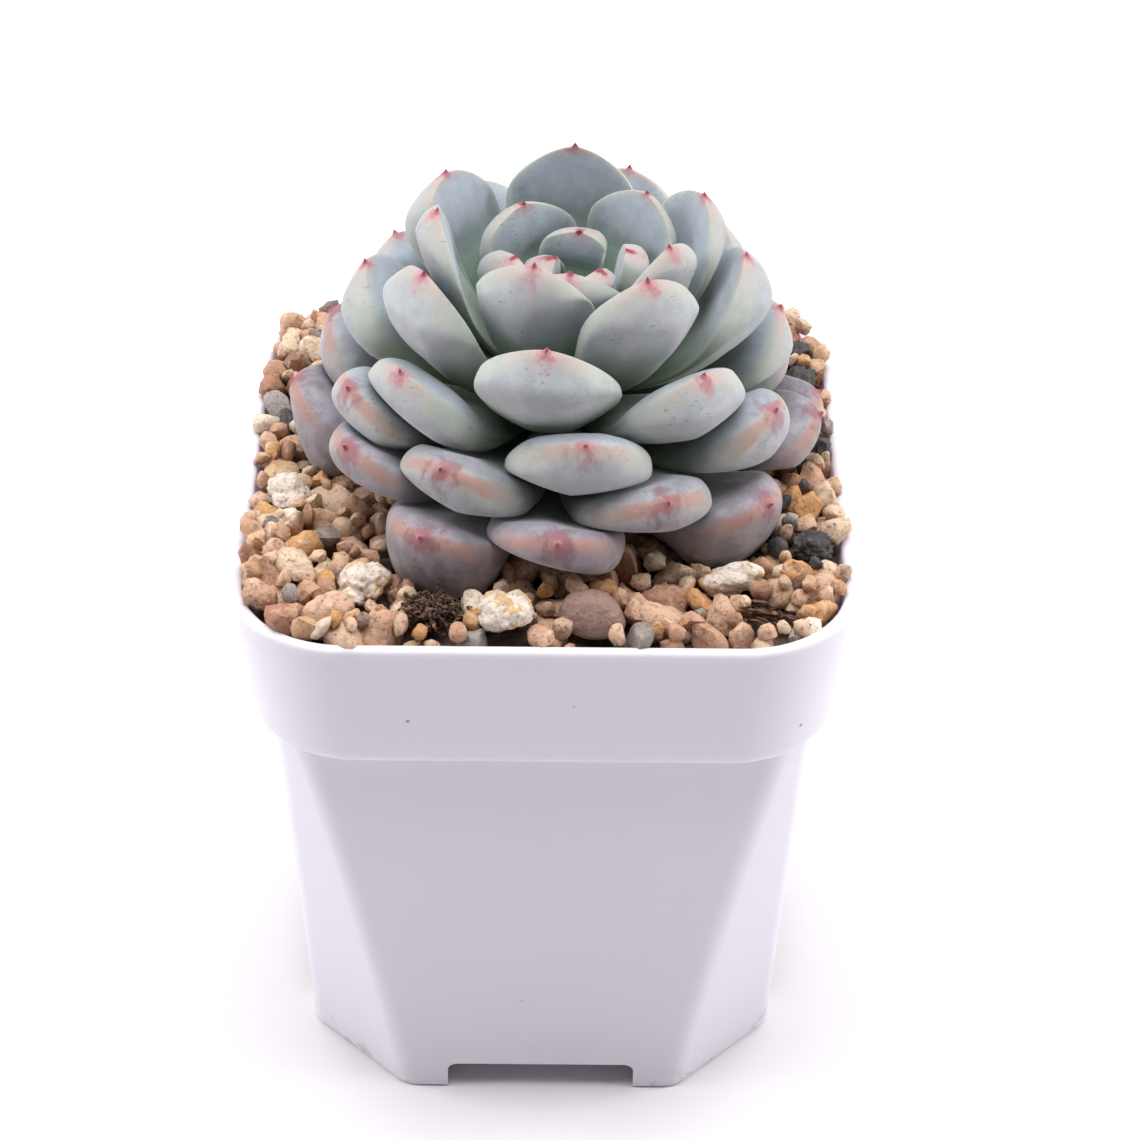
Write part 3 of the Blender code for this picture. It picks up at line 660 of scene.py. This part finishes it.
def leaf_grid(leaf):
    """Rows of points round a leaf, and at each its side, place along and distances to the edges."""
    age = leaf_ages[leaf]
    u = leaf_rows()
    radius, height = shell_point(age, u)
    narrowed = 1 - OLD_NARROWING * ease((age - NARROW_FROM) / NARROW_FOR)
    half_width = LEAF_HALF_WIDTH * (1 - math.exp(-(age + WIDTH_START) / WIDTH_AGE)) * narrowed
    thick = LEAF_THICK * (1 - math.exp(-(age + THICK_START) / THICK_AGE))
    half = blend(half_width * blunt_width(u, age), point_width(u))
    depth = blend(thick * thickness_along(u, age), POINT_DEPTH * point_width(u))
    spread = np.degrees(half / np.maximum(radius, 1.0))
    ending = np.where(u > LEAF_WIDEST_AT, np.minimum(blunt_width(u, age) + 0.12, 1), 1)
    rounded = 1 - youth(age) * (1 - ending)
    limits = [soft_min(spread, turn_limit(leaf, side) * rounded) for side in (-1, 1)]
    spacing, slip = shell_depth(age, u)
    column = np.arange(-LEAF_COLUMNS, LEAF_COLUMNS + 1)[None, :]
    v = np.sin(math.pi / 2 * column / LEAF_COLUMNS)
    bend = v * np.where(v < 0, limits[0], limits[1])
    edge = (1 - np.abs(v) ** EDGE_FULLNESS) ** (EDGE_ROUNDING + 0.5 * youth(age))
    body = depth * edge / spacing
    faces = []
    end_share = RIM_UPPER_SHARE + (OLD_UPPER_SHARE - RIM_UPPER_SHARE) * old_share(age)
    upper_share = LEAF_UPPER_SHARE + (end_share - LEAF_UPPER_SHARE) * np.clip(u / 0.6, 0, 1)
    flatness = FLATNESS + (1 - FLATNESS) * math.exp(-age / FLAT_AGE)
    curl = 1 / np.cos(np.radians(np.clip(bend, -60, 60))) - 1
    flat_shift = flatness * radius * curl / spacing
    flat_shift = soft_min(flat_shift, np.maximum(room(leaf, bend, True) - 0.25, 0))
    for share, older in ((upper_share, False), (1 - upper_share, True)):
        outwards = 1 if older else -1
        free = room(leaf, bend, older) - outwards * flat_shift - PRESS_GAP / spacing
        deep = flat_shift + outwards * soft_min(body * share, free)
        r, z = shell_point(age + deep, u + slip * deep)
        faces.append(plant_point(r, np.radians(leaf_turns[leaf] + bend), z))
    steps = np.hypot(np.diff(radius[:, 0]), np.diff(height[:, 0]))
    length = np.concatenate([[0.0], np.cumsum(steps)])
    flat = np.stack([np.broadcast_to(length[:, None], bend.shape), np.radians(bend) * radius], -1)
    outline = np.concatenate([flat[:, 0], flat[:, -1]])[4:]
    to_margin = np.linalg.norm(flat[:, :, None] - outline[None, None], axis=-1).min(-1)
    to_tip = np.linalg.norm(flat - flat[-1, LEAF_COLUMNS], axis=-1)
    side = (1 - np.abs(v) ** 6) * (1 - np.clip(u / LEAF_BLUNT_AT, 0, 1) ** 24)
    along = np.broadcast_to(u, bend.shape)
    facts = {"side": both_faces(side, -side), "margin": both_faces(to_margin, to_margin),
             "tip": both_faces(to_tip, to_tip), "along": both_faces(along, along)}
    return both_faces(*faces), facts


def make_leaf(leaf, paint):
    """One leaf with its closed ends, and the numbers at its points that the paint reads."""
    grid, facts = leaf_grid(leaf)
    grid[..., 2] = np.maximum(grid[..., 2], GROUND_LEVEL + 0.2)
    rows, count, _ = grid.shape
    points = [Vector(p) for p in grid.reshape(-1, 3)]
    faces = []
    bridge_rings(grid, faces)
    for first, order in ((0, 1), (count * (rows - 1), -1)):
        points.append(sum((points[first + k] for k in range(count)), Vector()) / count)
        end = len(points) - 1
        for k in range(count):
            pair = (first + (k + 1) % count, first + k)
            faces.append((*pair[::order], end))
    name = "leaf_%02d" % (leaf + 1)
    piece = add_piece(name + "_blade", points, faces, paint, "leaf")
    facts["age"] = np.full((rows, count), leaf_ages[leaf] / LEAF_COUNT)
    for fact, values in facts.items():
        layer = piece.data.attributes.new(fact, "FLOAT", "POINT")
        flat = values.ravel()
        layer.data.foreach_set("value", np.concatenate([flat, [flat[0], flat[-1]]]))
    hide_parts(name)
    return piece


leaf_paint = Paint("leaf", sheen_weight=0.30, sheen_roughness=0.55, subsurface_weight=0.12,
                   subsurface_scale=0.0015, subsurface_radius=(0.6, 1.0, 0.6),
                   specular_ior_level=0.35)
side = leaf_paint.attribute("side")
upper = side.ramp(-0.5, 0.7)
margin = leaf_paint.attribute("margin")
tip = leaf_paint.attribute("tip")
along = leaf_paint.attribute("along")
age = leaf_paint.attribute("age")
ragged = leaf_paint.clouds(1.6, 4) - 0.5
torn = leaf_paint.clouds(0.9, 4, 0.6, leaf_paint.place((1.0, 1.0, 0.45))) - 0.5
old = (age + (leaf_paint.clouds(8, 1) - 0.5) * 0.25).ramp(0.50, 0.92)
weathered = age.ramp(0.50, 0.68)

# The powder lies whole in some patches and thin in others, over green leaves or mauve old ones
powder = leaf_paint.clouds(2.0, 5, 0.6).ramp(0.36, 0.66)
outer_face = leaf_paint.mix(powder, (0.305, 0.32, 0.33), (0.36, 0.372, 0.40))
inner_face = leaf_paint.mix(powder, (0.285, 0.33, 0.375), (0.335, 0.38, 0.44))
mauve = leaf_paint.mix(powder, (0.185, 0.15, 0.175), (0.29, 0.255, 0.30))
green = leaf_paint.mix(upper, (0.25, 0.31, 0.185), (0.17, 0.265, 0.19))
colour = leaf_paint.mix(old * 0.85, leaf_paint.mix(upper, outer_face, inner_face), mauve)
colour = leaf_paint.mix((along + ragged * 0.3).ramp(0.84, 0.42) * (1.0 - old * 0.4), colour, green)
pale_rim = (margin + ragged * 0.6).ramp(0.9, 0.0) * (1.0 - old)

# The margins flush towards the point, most on a weathered leaf's ridge, and the point is crimson
flush = (margin + ragged * 0.8).ramp(0.7, 0.0) * (tip + ragged * 3.0).ramp(6.5, 1.5)
ridge = (side * side + ragged * 0.15).ramp(0.10, 0.0) * (tip + ragged * 4.0).ramp(10.0, 4.0)
bruise = (tip + torn * 6.0 + ragged * 5.0).ramp(2.9, 0.6)
halo = (tip + ragged * 1.5).ramp(2.6, 0.4)
streak = (tip + torn * 3.2).ramp(1.7, 0.5) * age.ramp(-0.1, 0.35) * (1.0 - weathered * 0.5)

# Thin dark rubs where something has scraped the powder off, pale flecks of dried water and pits
rubs = leaf_paint.clouds(0.75, 5, 0.65, leaf_paint.place((1.0, 1.0, 2.6))).ramp(0.585, 0.64)
rubs = rubs * leaf_paint.clouds(5.5, 2).ramp(0.50, 0.60)
flecks = leaf_paint.cells(1.3).ramp(0.10, 0.05) * leaf_paint.clouds(4, 2).ramp(0.52, 0.62)
pits = leaf_paint.cells(3.1).ramp(0.045, 0.02) * leaf_paint.clouds(7, 2).ramp(0.45, 0.6)

# From the powder outwards: how strongly each of them covers what lies under it, and its colour
for cover, shade in (
        (pale_rim * 0.38, (0.44, 0.47, 0.33)),
        (flush * age.ramp(0.02, 0.25) * 0.42, (0.46, 0.25, 0.24)),
        (ridge * weathered * 0.7, (0.37, 0.185, 0.14)),
        (bruise * weathered * 0.65, (0.17, 0.05, 0.085)),
        (halo * (1.0 - weathered) * 0.35, (0.50, 0.26, 0.26)),
        (streak * 0.75, (0.38, 0.085, 0.125)),
        ((tip + torn).ramp(0.70, 0.35), (0.25, 0.02, 0.045)),
        (rubs * 0.55, (0.10, 0.14, 0.10)),
        (flecks * 0.35, (0.52, 0.53, 0.51)),
        (pits * 0.55, (0.08, 0.07, 0.06))):
    colour = leaf_paint.mix(cover, colour, shade)
leaf_paint.set(base_color=colour, roughness=leaf_paint.clouds(2.5, 4) * 0.2 + 0.50)
leaf_paint.bump(leaf_paint.clouds(0.35, 3), 0.014)
leaf_paint.bump(leaf_paint.clouds(3.5, 2), 0.12)

leaves = [make_leaf(k, leaf_paint) for k in range(LEAF_COUNT)]


# ---------------------------------------------------------------- loose pieces on the gravel
# The larger bits that lie on top: knobbly white pumice, a smooth brown pebble, dark lava crumbs
# and a flat chip of fired clay. Each is one natural lump that only rests there.

def ball(subdivisions):
    """Directions and faces of an even ball."""
    work = bmesh.new()
    bmesh.ops.create_icosphere(work, subdivisions=subdivisions, radius=1.0)
    directions = np.array([vert.co.normalized()[:] for vert in work.verts])
    faces = np.array([[vert.index for vert in face.verts] for face in work.faces])
    work.free()
    return directions, faces


def lump(directions, rng, cuts, wear, rough, knobs, bosses=0):
    """Points of a lump about 1 in radius, cut by random planes, with round bosses and a rough skin.

    A small wear gives rounder edges, and knobs is the number of bumps across.
    """
    normals = rng.normal(size=(cuts, 3))
    normals /= np.linalg.norm(normals, axis=1)[:, None]
    reaches = rng.uniform(0.52, 0.88, cuts)
    facing = np.maximum(directions @ normals.T, 0.05)
    radius = ((reaches / facing) ** -wear).sum(1) ** (-1 / wear)
    radius = (radius ** -wear + 1.0) ** (-1 / wear)
    if bosses:
        middles = rng.normal(size=(bosses, 3))
        middles /= np.linalg.norm(middles, axis=1)[:, None]
        widths = rng.uniform(0.30, 0.62, bosses)
        away = np.linalg.norm(directions[:, None] - middles[None], axis=-1) / widths
        radius *= 1 + (np.sqrt(np.maximum(1 - away ** 2, 0)) * widths).max(1) * 0.55
    seed = Vector(rng.uniform(-50, 50, 3))
    skin = np.array([noise.fractal(Vector(d) * knobs + seed, 0.8, 2.1, 4) for d in directions])
    return directions * (radius * (1 + rough * skin))[:, None]


def stone_paint(name, shades, dust, pores, roughness=0.88, rust=None):
    """Stone coloured by its own tone, with dust, dark patches, pores and perhaps rusty stains."""
    paint = Paint(name, roughness=roughness)
    tone = paint.attribute("tone")
    colour = shades[0]
    for k, shade in enumerate(shades[1:]):
        start = k / (len(shades) - 1)
        colour = paint.mix(tone.ramp(start, start + 1 / (len(shades) - 1)), colour, shade)
    blotches = paint.clouds(1.3, 4)
    colour = paint.mix(blotches.ramp(0.52, 0.75) * 0.75, colour, dust)
    stained = paint.clouds(0.9, 5, 0.65).ramp(0.50, 0.36)
    colour = paint.mix(stained * 0.45, colour, tuple(0.6 * c for c in shades[0]))
    pits = paint.clouds(0.45, 3, 0.6).ramp(0.42, 0.30) * pores
    colour = paint.mix(pits, colour, tuple(0.35 * c for c in shades[0]))
    if rust:
        stains = (paint.clouds(2.4, 3) + paint.clouds(0.6, 2) * 0.3).ramp(0.69, 0.80)
        colour = paint.mix(stains * 0.75, colour, rust)
    paint.set(base_color=colour)
    paint.bump(paint.clouds(0.4, 4, 0.65), 0.20)
    paint.bump(paint.clouds(1.2, 3), 0.25)
    return paint


def join_lumps(name, lumps, faces, tones, paint, slot, sharp_angle=180.0):
    """One piece from several lumps that share the ball's faces, each with its own tone."""
    size = len(lumps[0])
    points = np.concatenate(lumps)
    every_face = np.concatenate([faces + size * k for k in range(len(lumps))]).tolist()
    piece = add_piece(name, points.tolist(), every_face, paint, slot, sharp_angle)
    layer = piece.data.attributes.new("tone", "FLOAT", "POINT")
    layer.data.foreach_set("value", np.repeat(tones, size))
    return piece


white_pumice = stone_paint("white_pumice", ((0.62, 0.50, 0.40), (0.73, 0.65, 0.59)),
                           (0.78, 0.73, 0.67), 0.7, rust=(0.50, 0.29, 0.10))
pebble_paint = stone_paint("brown_pebble", ((0.22, 0.13, 0.10), (0.29, 0.185, 0.15)),
                           (0.33, 0.23, 0.19), 0.5, 0.6)
lava_paint = stone_paint("lava", ((0.04, 0.038, 0.04), (0.085, 0.075, 0.075)),
                         (0.17, 0.145, 0.13), 0.9)
chip_paint = stone_paint("fired_clay", ((0.50, 0.30, 0.15), (0.62, 0.42, 0.26)),
                         (0.66, 0.52, 0.38), 0.4)
# Each loose piece: its paint and slot, then its planes, edge wear, roughness, knobs and bosses
LOOSE = {
    "pumice_front": (white_pumice, "pumice", 5, 6, 0.12, 2.6, 16),
    "pumice_left": (white_pumice, "pumice", 5, 6, 0.14, 2.6, 18),
    "pumice_right": (white_pumice, "pumice", 4, 6, 0.08, 2.2, 12),
    "pumice_far_left": (white_pumice, "pumice", 5, 6, 0.12, 2.4, 14),
    "brown_pebble": (pebble_paint, "pebble", 3, 5, 0.06, 1.3),
    "lava_right": (lava_paint, "lava", 9, 8, 0.28, 2.6),
    "lava_back_right": (lava_paint, "lava", 9, 8, 0.28, 2.6),
    "flat_chip": (chip_paint, "akadama", 9, 14, 0.08, 1.2),
}
resting = []                  # centre and radius of everything that lies on the soil so far
LOOSE_SUNK = 0.6              # how far the lumps sit down into the gravel
FIRST_LOOSE_SEED = 40
fine_ball, fine_faces = ball(5)
for number, (name, (paint, slot, *cutting)) in enumerate(LOOSE.items()):
    low, high = (np.array(corner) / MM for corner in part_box(name))
    shape = lump(fine_ball, np.random.default_rng(FIRST_LOOSE_SEED + number), *cutting)
    shape = (shape - shape.min(0)) / (shape.max(0) - shape.min(0)) * (high - low) + low
    shape[:, 2] -= LOOSE_SUNK
    piece = join_lumps(name + "_stone", [shape], fine_faces, [0.5], paint, slot)
    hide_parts(name)
    resting.append((*((low + high) / 2), (high - low)[:2].mean() / 2))


# ---------------------------------------------------------------- peat lump and bark shred
# A curled wad of brown peat fibres and a splintered strip of bark, both left over from the soil mix.
# They are dry plant fibre and lie loose on the gravel.

STRAND_SIDES = 6
STRAND_TIP_RADIUS = 0.05
FIBRES_SUNK = 0.4


def strand(points, path, radii):
    """Adds a tapering tube along a path to the points, and gives its faces."""
    sides = STRAND_SIDES
    first = len(points)
    for k, place in enumerate(path):
        ahead = (path[min(k + 1, len(path) - 1)] - path[max(k - 1, 0)]).normalized()
        across = ahead.orthogonal().normalized()
        beside = ahead.cross(across)
        for s in range(sides):
            a = 2 * math.pi * s / sides
            points.append(place + (across * math.cos(a) + beside * math.sin(a)) * radii[k])
    faces = []
    bridge_rings([points[first + k * sides:first + (k + 1) * sides] for k in range(len(path))],
                 faces, first)
    faces.append(tuple(first + s for s in reversed(range(sides))))
    faces.append(tuple(first + (len(path) - 1) * sides + s for s in range(sides)))
    return faces


fibre = Paint("fibre", roughness=0.7)
streaks = fibre.clouds(1.1, 5)
fibre_colour = fibre.mix(streaks.ramp(0.40, 0.62), (0.040, 0.020, 0.014), (0.150, 0.072, 0.040))
fibre.set(base_color=fibre.mix(fibre.clouds(2.0, 2).ramp(0.62, 0.72) * 0.7, fibre_colour,
                               (0.30, 0.14, 0.05)))
fibre.bump(fibre.clouds(0.25, 3), 0.06)


def fibre_piece(name, slot, paths, thickest):
    """A bundle of fibres, each thickest in its middle, fitted into its solid's box."""
    low, high = (Vector(corner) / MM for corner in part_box(name))
    points = []
    faces = []
    for number, path in enumerate(paths):
        stout = thickest * (0.4 + 0.6 * (number % 3) / 2)
        radii = [STRAND_TIP_RADIUS + stout * math.sin(math.pi * (k + 0.5) / len(path))
                 for k in range(len(path))]
        faces += strand(points, path, radii)
    lows = Vector(tuple(min(p[k] for p in points) for k in range(3)))
    highs = Vector(tuple(max(p[k] for p in points) for k in range(3)))
    for p in points:
        for k in range(3):
            p[k] = low[k] + (p[k] - lows[k]) / (highs[k] - lows[k]) * (high[k] - low[k])
        p.z -= FIBRES_SUNK
    piece = add_piece(name + "_fibres", points, faces, fibre, slot)
    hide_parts(name)
    resting.append((*((low + high) / 2), (high - low).xy.length / 3.2))


WAD_STRANDS = 260
STRAND_STEP = 0.26
SPLINTERS = 34
BARK_TURN = -38               # degrees about the upright
chance = random.Random(8)
wad = []
for _ in range(WAD_STRANDS):
    spot = Vector([chance.gauss(0, 1.5), chance.gauss(0, 1.2), chance.gauss(0, 0.75)])
    ahead = Vector([chance.gauss(0, 1) for _ in range(3)]).normalized()
    path = [spot]
    for _ in range(10):
        swerve = Vector([chance.gauss(0, 0.75) for _ in range(3)])
        ahead = (ahead + swerve - path[-1] * 0.2).normalized()
        path.append(path[-1] + ahead * STRAND_STEP)
    wad.append(path)
fibre_piece("peat_lump", "peat", wad, 0.20)

splinters = []
for _ in range(SPLINTERS):
    start = Vector([chance.uniform(-4.2, -0.5), chance.gauss(0, 0.7), chance.gauss(0, 0.45)])
    length = chance.uniform(2.0, 5.6)
    path = [start]
    for _ in range(8):
        path.append(path[-1] + Vector([length / 8, chance.gauss(0, 0.10), chance.gauss(0, 0.10)]))
    splinters.append([Matrix.Rotation(math.radians(BARK_TURN), 3, "Z") @ p for p in path])
fibre_piece("bark_chip", "bark", splinters, 0.24)


# ---------------------------------------------------------------- gravel
# A topdressing of small stones up to 6 mm across: fired clay, pumice, grey and brown grit and
# some lava. They are poured on the soil by hand and packed by their own weight, level with the lip.

SOIL_BELOW_LIP = 1.9
STONE_COUNT = 1900
LARGEST_STONE = 2.5           # radius; the largest are poured first and the grit fills between them
SMALLEST_STONE = 0.8
GRIT_BELOW = 1.5              # radius under which a stone counts as grit
STONE_TRIES = 14
STONE_SUNK = 0.6              # part of its radius that a bottom stone is pressed into the soil
CLOSENESS = 0.86              # rough stones touch closer than round ones of their size
GRAVEL_ABOVE_LIP = 1.8
HEAPS = ((-26, 22, 2.6), (26, 26, 2.6), (-31, -18, 1.9), (-24, -30, 1.0), (31, -12, 1.3))
HEAP_WIDTH = 9.0
FRONT_LIP_Y = -22             # in front of this the gravel stays inside the lip
DARK_CORNER = (26, -22, 24)   # least x and the two ends in y of the patch with more lava
DARK_CORNER_SHARE = 0.20
MOULDS = 16                   # different stones of each kind, each used many times over
leaf_points = np.array([vertex.co[:] for leaf in leaves for vertex in leaf.data.vertices]) / MM
leaf_tree = KDTree(len(leaf_points))
for number, p in enumerate(leaf_points):
    leaf_tree.insert(p, number)
leaf_tree.balance()
rng = np.random.default_rng(11)
inner = POT_WIDTH / 2 - WALL
corner = RIM_CORNER_RADIUS - WALL


def outside_distance(x, y):
    """How far a place is outside the inner face of the rim; negative inside."""
    dx = abs(x) - (inner - corner)
    dy = abs(y) - (inner - corner)
    return math.hypot(max(dx, 0), max(dy, 0)) + min(max(dx, dy), 0) - corner


def rest_height(x, y, r):
    """Where the middle of a stone comes to rest when it drops on the soil, the lip and the others."""
    z = POT_HEIGHT - SOIL_BELOW_LIP + r * (1 - STONE_SUNK)
    over_wall = outside_distance(x, y) + r * 0.7
    if over_wall > 0:
        clear = max(r * 0.7 - over_wall, 0)
        z = max(z, POT_HEIGHT + math.sqrt(max((r * 0.8) ** 2 - clear ** 2, 0)))
    others = np.array(resting)
    reach = CLOSENESS * (others[:, 3] + r)
    gap = reach ** 2 - (others[:, 0] - x) ** 2 - (others[:, 1] - y) ** 2
    near = gap > 0
    if near.any():
        z = max(z, (others[near, 2] + np.sqrt(gap[near])).max())
    return z


def highest_top(x, y):
    """How high the gravel may reach at a place."""
    heap = max(height * math.exp(-((x - hx) ** 2 + (y - hy) ** 2) / HEAP_WIDTH ** 2)
               for hx, hy, height in HEAPS)
    return POT_HEIGHT + GRAVEL_ABOVE_LIP + heap


stones = []
for number in range(STONE_COUNT):
    shrinking = (number / STONE_COUNT) ** 0.6
    r = LARGEST_STONE + (SMALLEST_STONE - LARGEST_STONE) * shrinking
    r *= rng.uniform(0.85, 1.15)
    best = None
    for _ in range(STONE_TRIES):
        x, y = rng.uniform(-inner, inner, 2)
        if outside_distance(x, y) > -r * (0.75 if y < FRONT_LIP_Y else 0.2):
            continue
        z = rest_height(x, y, r)
        if z + r * 0.9 > highest_top(x, y) or leaf_tree.find((x, y, z))[2] < r * 0.95:
            continue
        if best is None or z < best[2]:
            best = (x, y, z, r)
    if best:
        resting.append(best)
        stones.append(best)

clay_grit = stone_paint("clay_grit", ((0.36, 0.18, 0.11), (0.53, 0.31, 0.20), (0.60, 0.39, 0.27),
                                      (0.66, 0.49, 0.35), (0.54, 0.27, 0.10)),
                        (0.70, 0.52, 0.40), 0.6)
pumice_grit = stone_paint("pumice_grit", ((0.56, 0.40, 0.27), (0.66, 0.53, 0.39), (0.74, 0.65, 0.55)),
                          (0.76, 0.69, 0.61), 0.6)
grey_grit = stone_paint("grey_grit", ((0.15, 0.105, 0.085), (0.27, 0.22, 0.19), (0.35, 0.31, 0.29),
                                      (0.27, 0.135, 0.085)),
                        (0.42, 0.36, 0.31), 0.5)
# Each kind: its paint, slot, share of the stones, and how they are cut, as for the loose pieces
KINDS = {
    "gravel_clay": (clay_grit, "akadama", 0.82, (11, 26, 0.16, 2.3)),
    "gravel_pumice": (pumice_grit, "pumice", 0.085, (8, 14, 0.18, 2.4, 8)),
    "gravel_grey": (grey_grit, "pebble", 0.05, (10, 22, 0.12, 1.9)),
    "gravel_lava": (lava_paint, "lava", 0.012, (9, 12, 0.24, 2.4)),
}
# Stones are cast from a fine ball and the grit between them from a coarse one: the ball's
# subdivisions, and the least and most radius
SIZES = {
    "stones": (3, GRIT_BELOW, math.inf),
    "grit": (2, 0.0, GRIT_BELOW),
}
names = list(KINDS)
shares = np.array([KINDS[name][2] for name in names])
lava_only = np.array([name == "gravel_lava" for name in names])
for size, (subdivisions, least, most) in SIZES.items():
    directions, ball_faces = ball(subdivisions)
    moulds = {name: [lump(directions, rng, *KINDS[name][3]) for _ in range(MOULDS)]
              for name in names}
    cast = {name: [] for name in names}
    tones = {name: [] for name in names}
    for x, y, z, r in stones:
        if not least <= r < most:
            continue
        in_dark_corner = x > DARK_CORNER[0] and DARK_CORNER[1] < y < DARK_CORNER[2]
        odds = shares + DARK_CORNER_SHARE * lava_only * in_dark_corner
        name = rng.choice(names, p=odds / odds.sum())
        shape = moulds[name][rng.integers(MOULDS)] * rng.uniform(0.72, 1.38, 3)
        angle = rng.uniform(0, 2 * math.pi)
        turn = Matrix.Rotation(angle, 3, Vector(rng.normal(size=3)).normalized())
        cast[name].append(shape @ np.array(turn).T * r * 1.12 + (x, y, z))
        tones[name].append(rng.uniform())
    for name, (paint, slot, _, _) in KINDS.items():
        if cast[name]:
            join_lumps(name + "_" + size, cast[name], ball_faces, tones[name], paint, slot, 50.0)


# ---------------------------------------------------------------- floor, light and camera
# A plain white sheet under soft studio light, and the camera above the front of the pot.

FLOOR_SIZE = 4000.0
bpy.ops.mesh.primitive_plane_add(size=FLOOR_SIZE * MM)
floor = bpy.context.object
floor.name = "floor"
sheet = Paint("white_sheet", roughness=0.9)
sheet.set(base_color=sheet.mix(sheet.clouds(60), (0.785, 0.76, 0.78), (0.80, 0.775, 0.795)))
floor.data.materials.append(sheet.material)

world = bpy.data.worlds.new("studio")
bpy.context.scene.world = world
world.use_nodes = True
background = world.node_tree.nodes["Background"]
background.inputs["Color"].default_value = (1.0, 0.985, 1.0, 1.0)
background.inputs["Strength"].default_value = 0.12
bpy.context.scene.view_settings.view_transform = "Standard"

# Each lamp: where it hangs in mm, its width in mm and its power in watts. All look at the plant.
LAMPS = {
    "top_box": ((0, 100, 900), 900, 13.0),
    "left_box": ((-700, 20, 330), 500, 4.0),
    "right_box": ((700, 20, 330), 500, 4.0),
}
plant_middle = Vector((0, 0, 60))
for name, (spot, width, power) in LAMPS.items():
    lamp_data = bpy.data.lights.new(name, "AREA")
    lamp_data.size = width * MM
    lamp_data.energy = power
    lamp = bpy.data.objects.new(name, lamp_data)
    lamp.location = Vector(spot) * MM
    lamp.rotation_euler = (Vector(spot) - plant_middle).to_track_quat("Z", "Y").to_euler()
    bpy.context.scene.collection.objects.link(lamp)

CAMERA_TARGET = Vector((3.0, 0.0, 57.5))
CAMERA_DISTANCE = 406.6
CAMERA_AZIMUTH = -0.28
CAMERA_ELEVATION = 36.26
CAMERA_ROLL = 0.68
CAMERA_LENS = 108.4
camera_data = bpy.data.cameras.new("camera")
camera_data.lens = CAMERA_LENS
camera = bpy.data.objects.new("camera", camera_data)
bpy.context.scene.collection.objects.link(camera)
azimuth = math.radians(CAMERA_AZIMUTH)
elevation = math.radians(CAMERA_ELEVATION)
backwards = Vector((math.cos(elevation) * math.sin(azimuth),
                    -math.cos(elevation) * math.cos(azimuth), math.sin(elevation)))
facing = backwards.to_track_quat("Z", "Y").to_matrix().to_4x4()
camera.matrix_world = (Matrix.Translation((CAMERA_TARGET + backwards * CAMERA_DISTANCE) * MM) @ facing
                       @ Matrix.Rotation(math.radians(CAMERA_ROLL), 4, "Z"))
bpy.context.scene.camera = camera
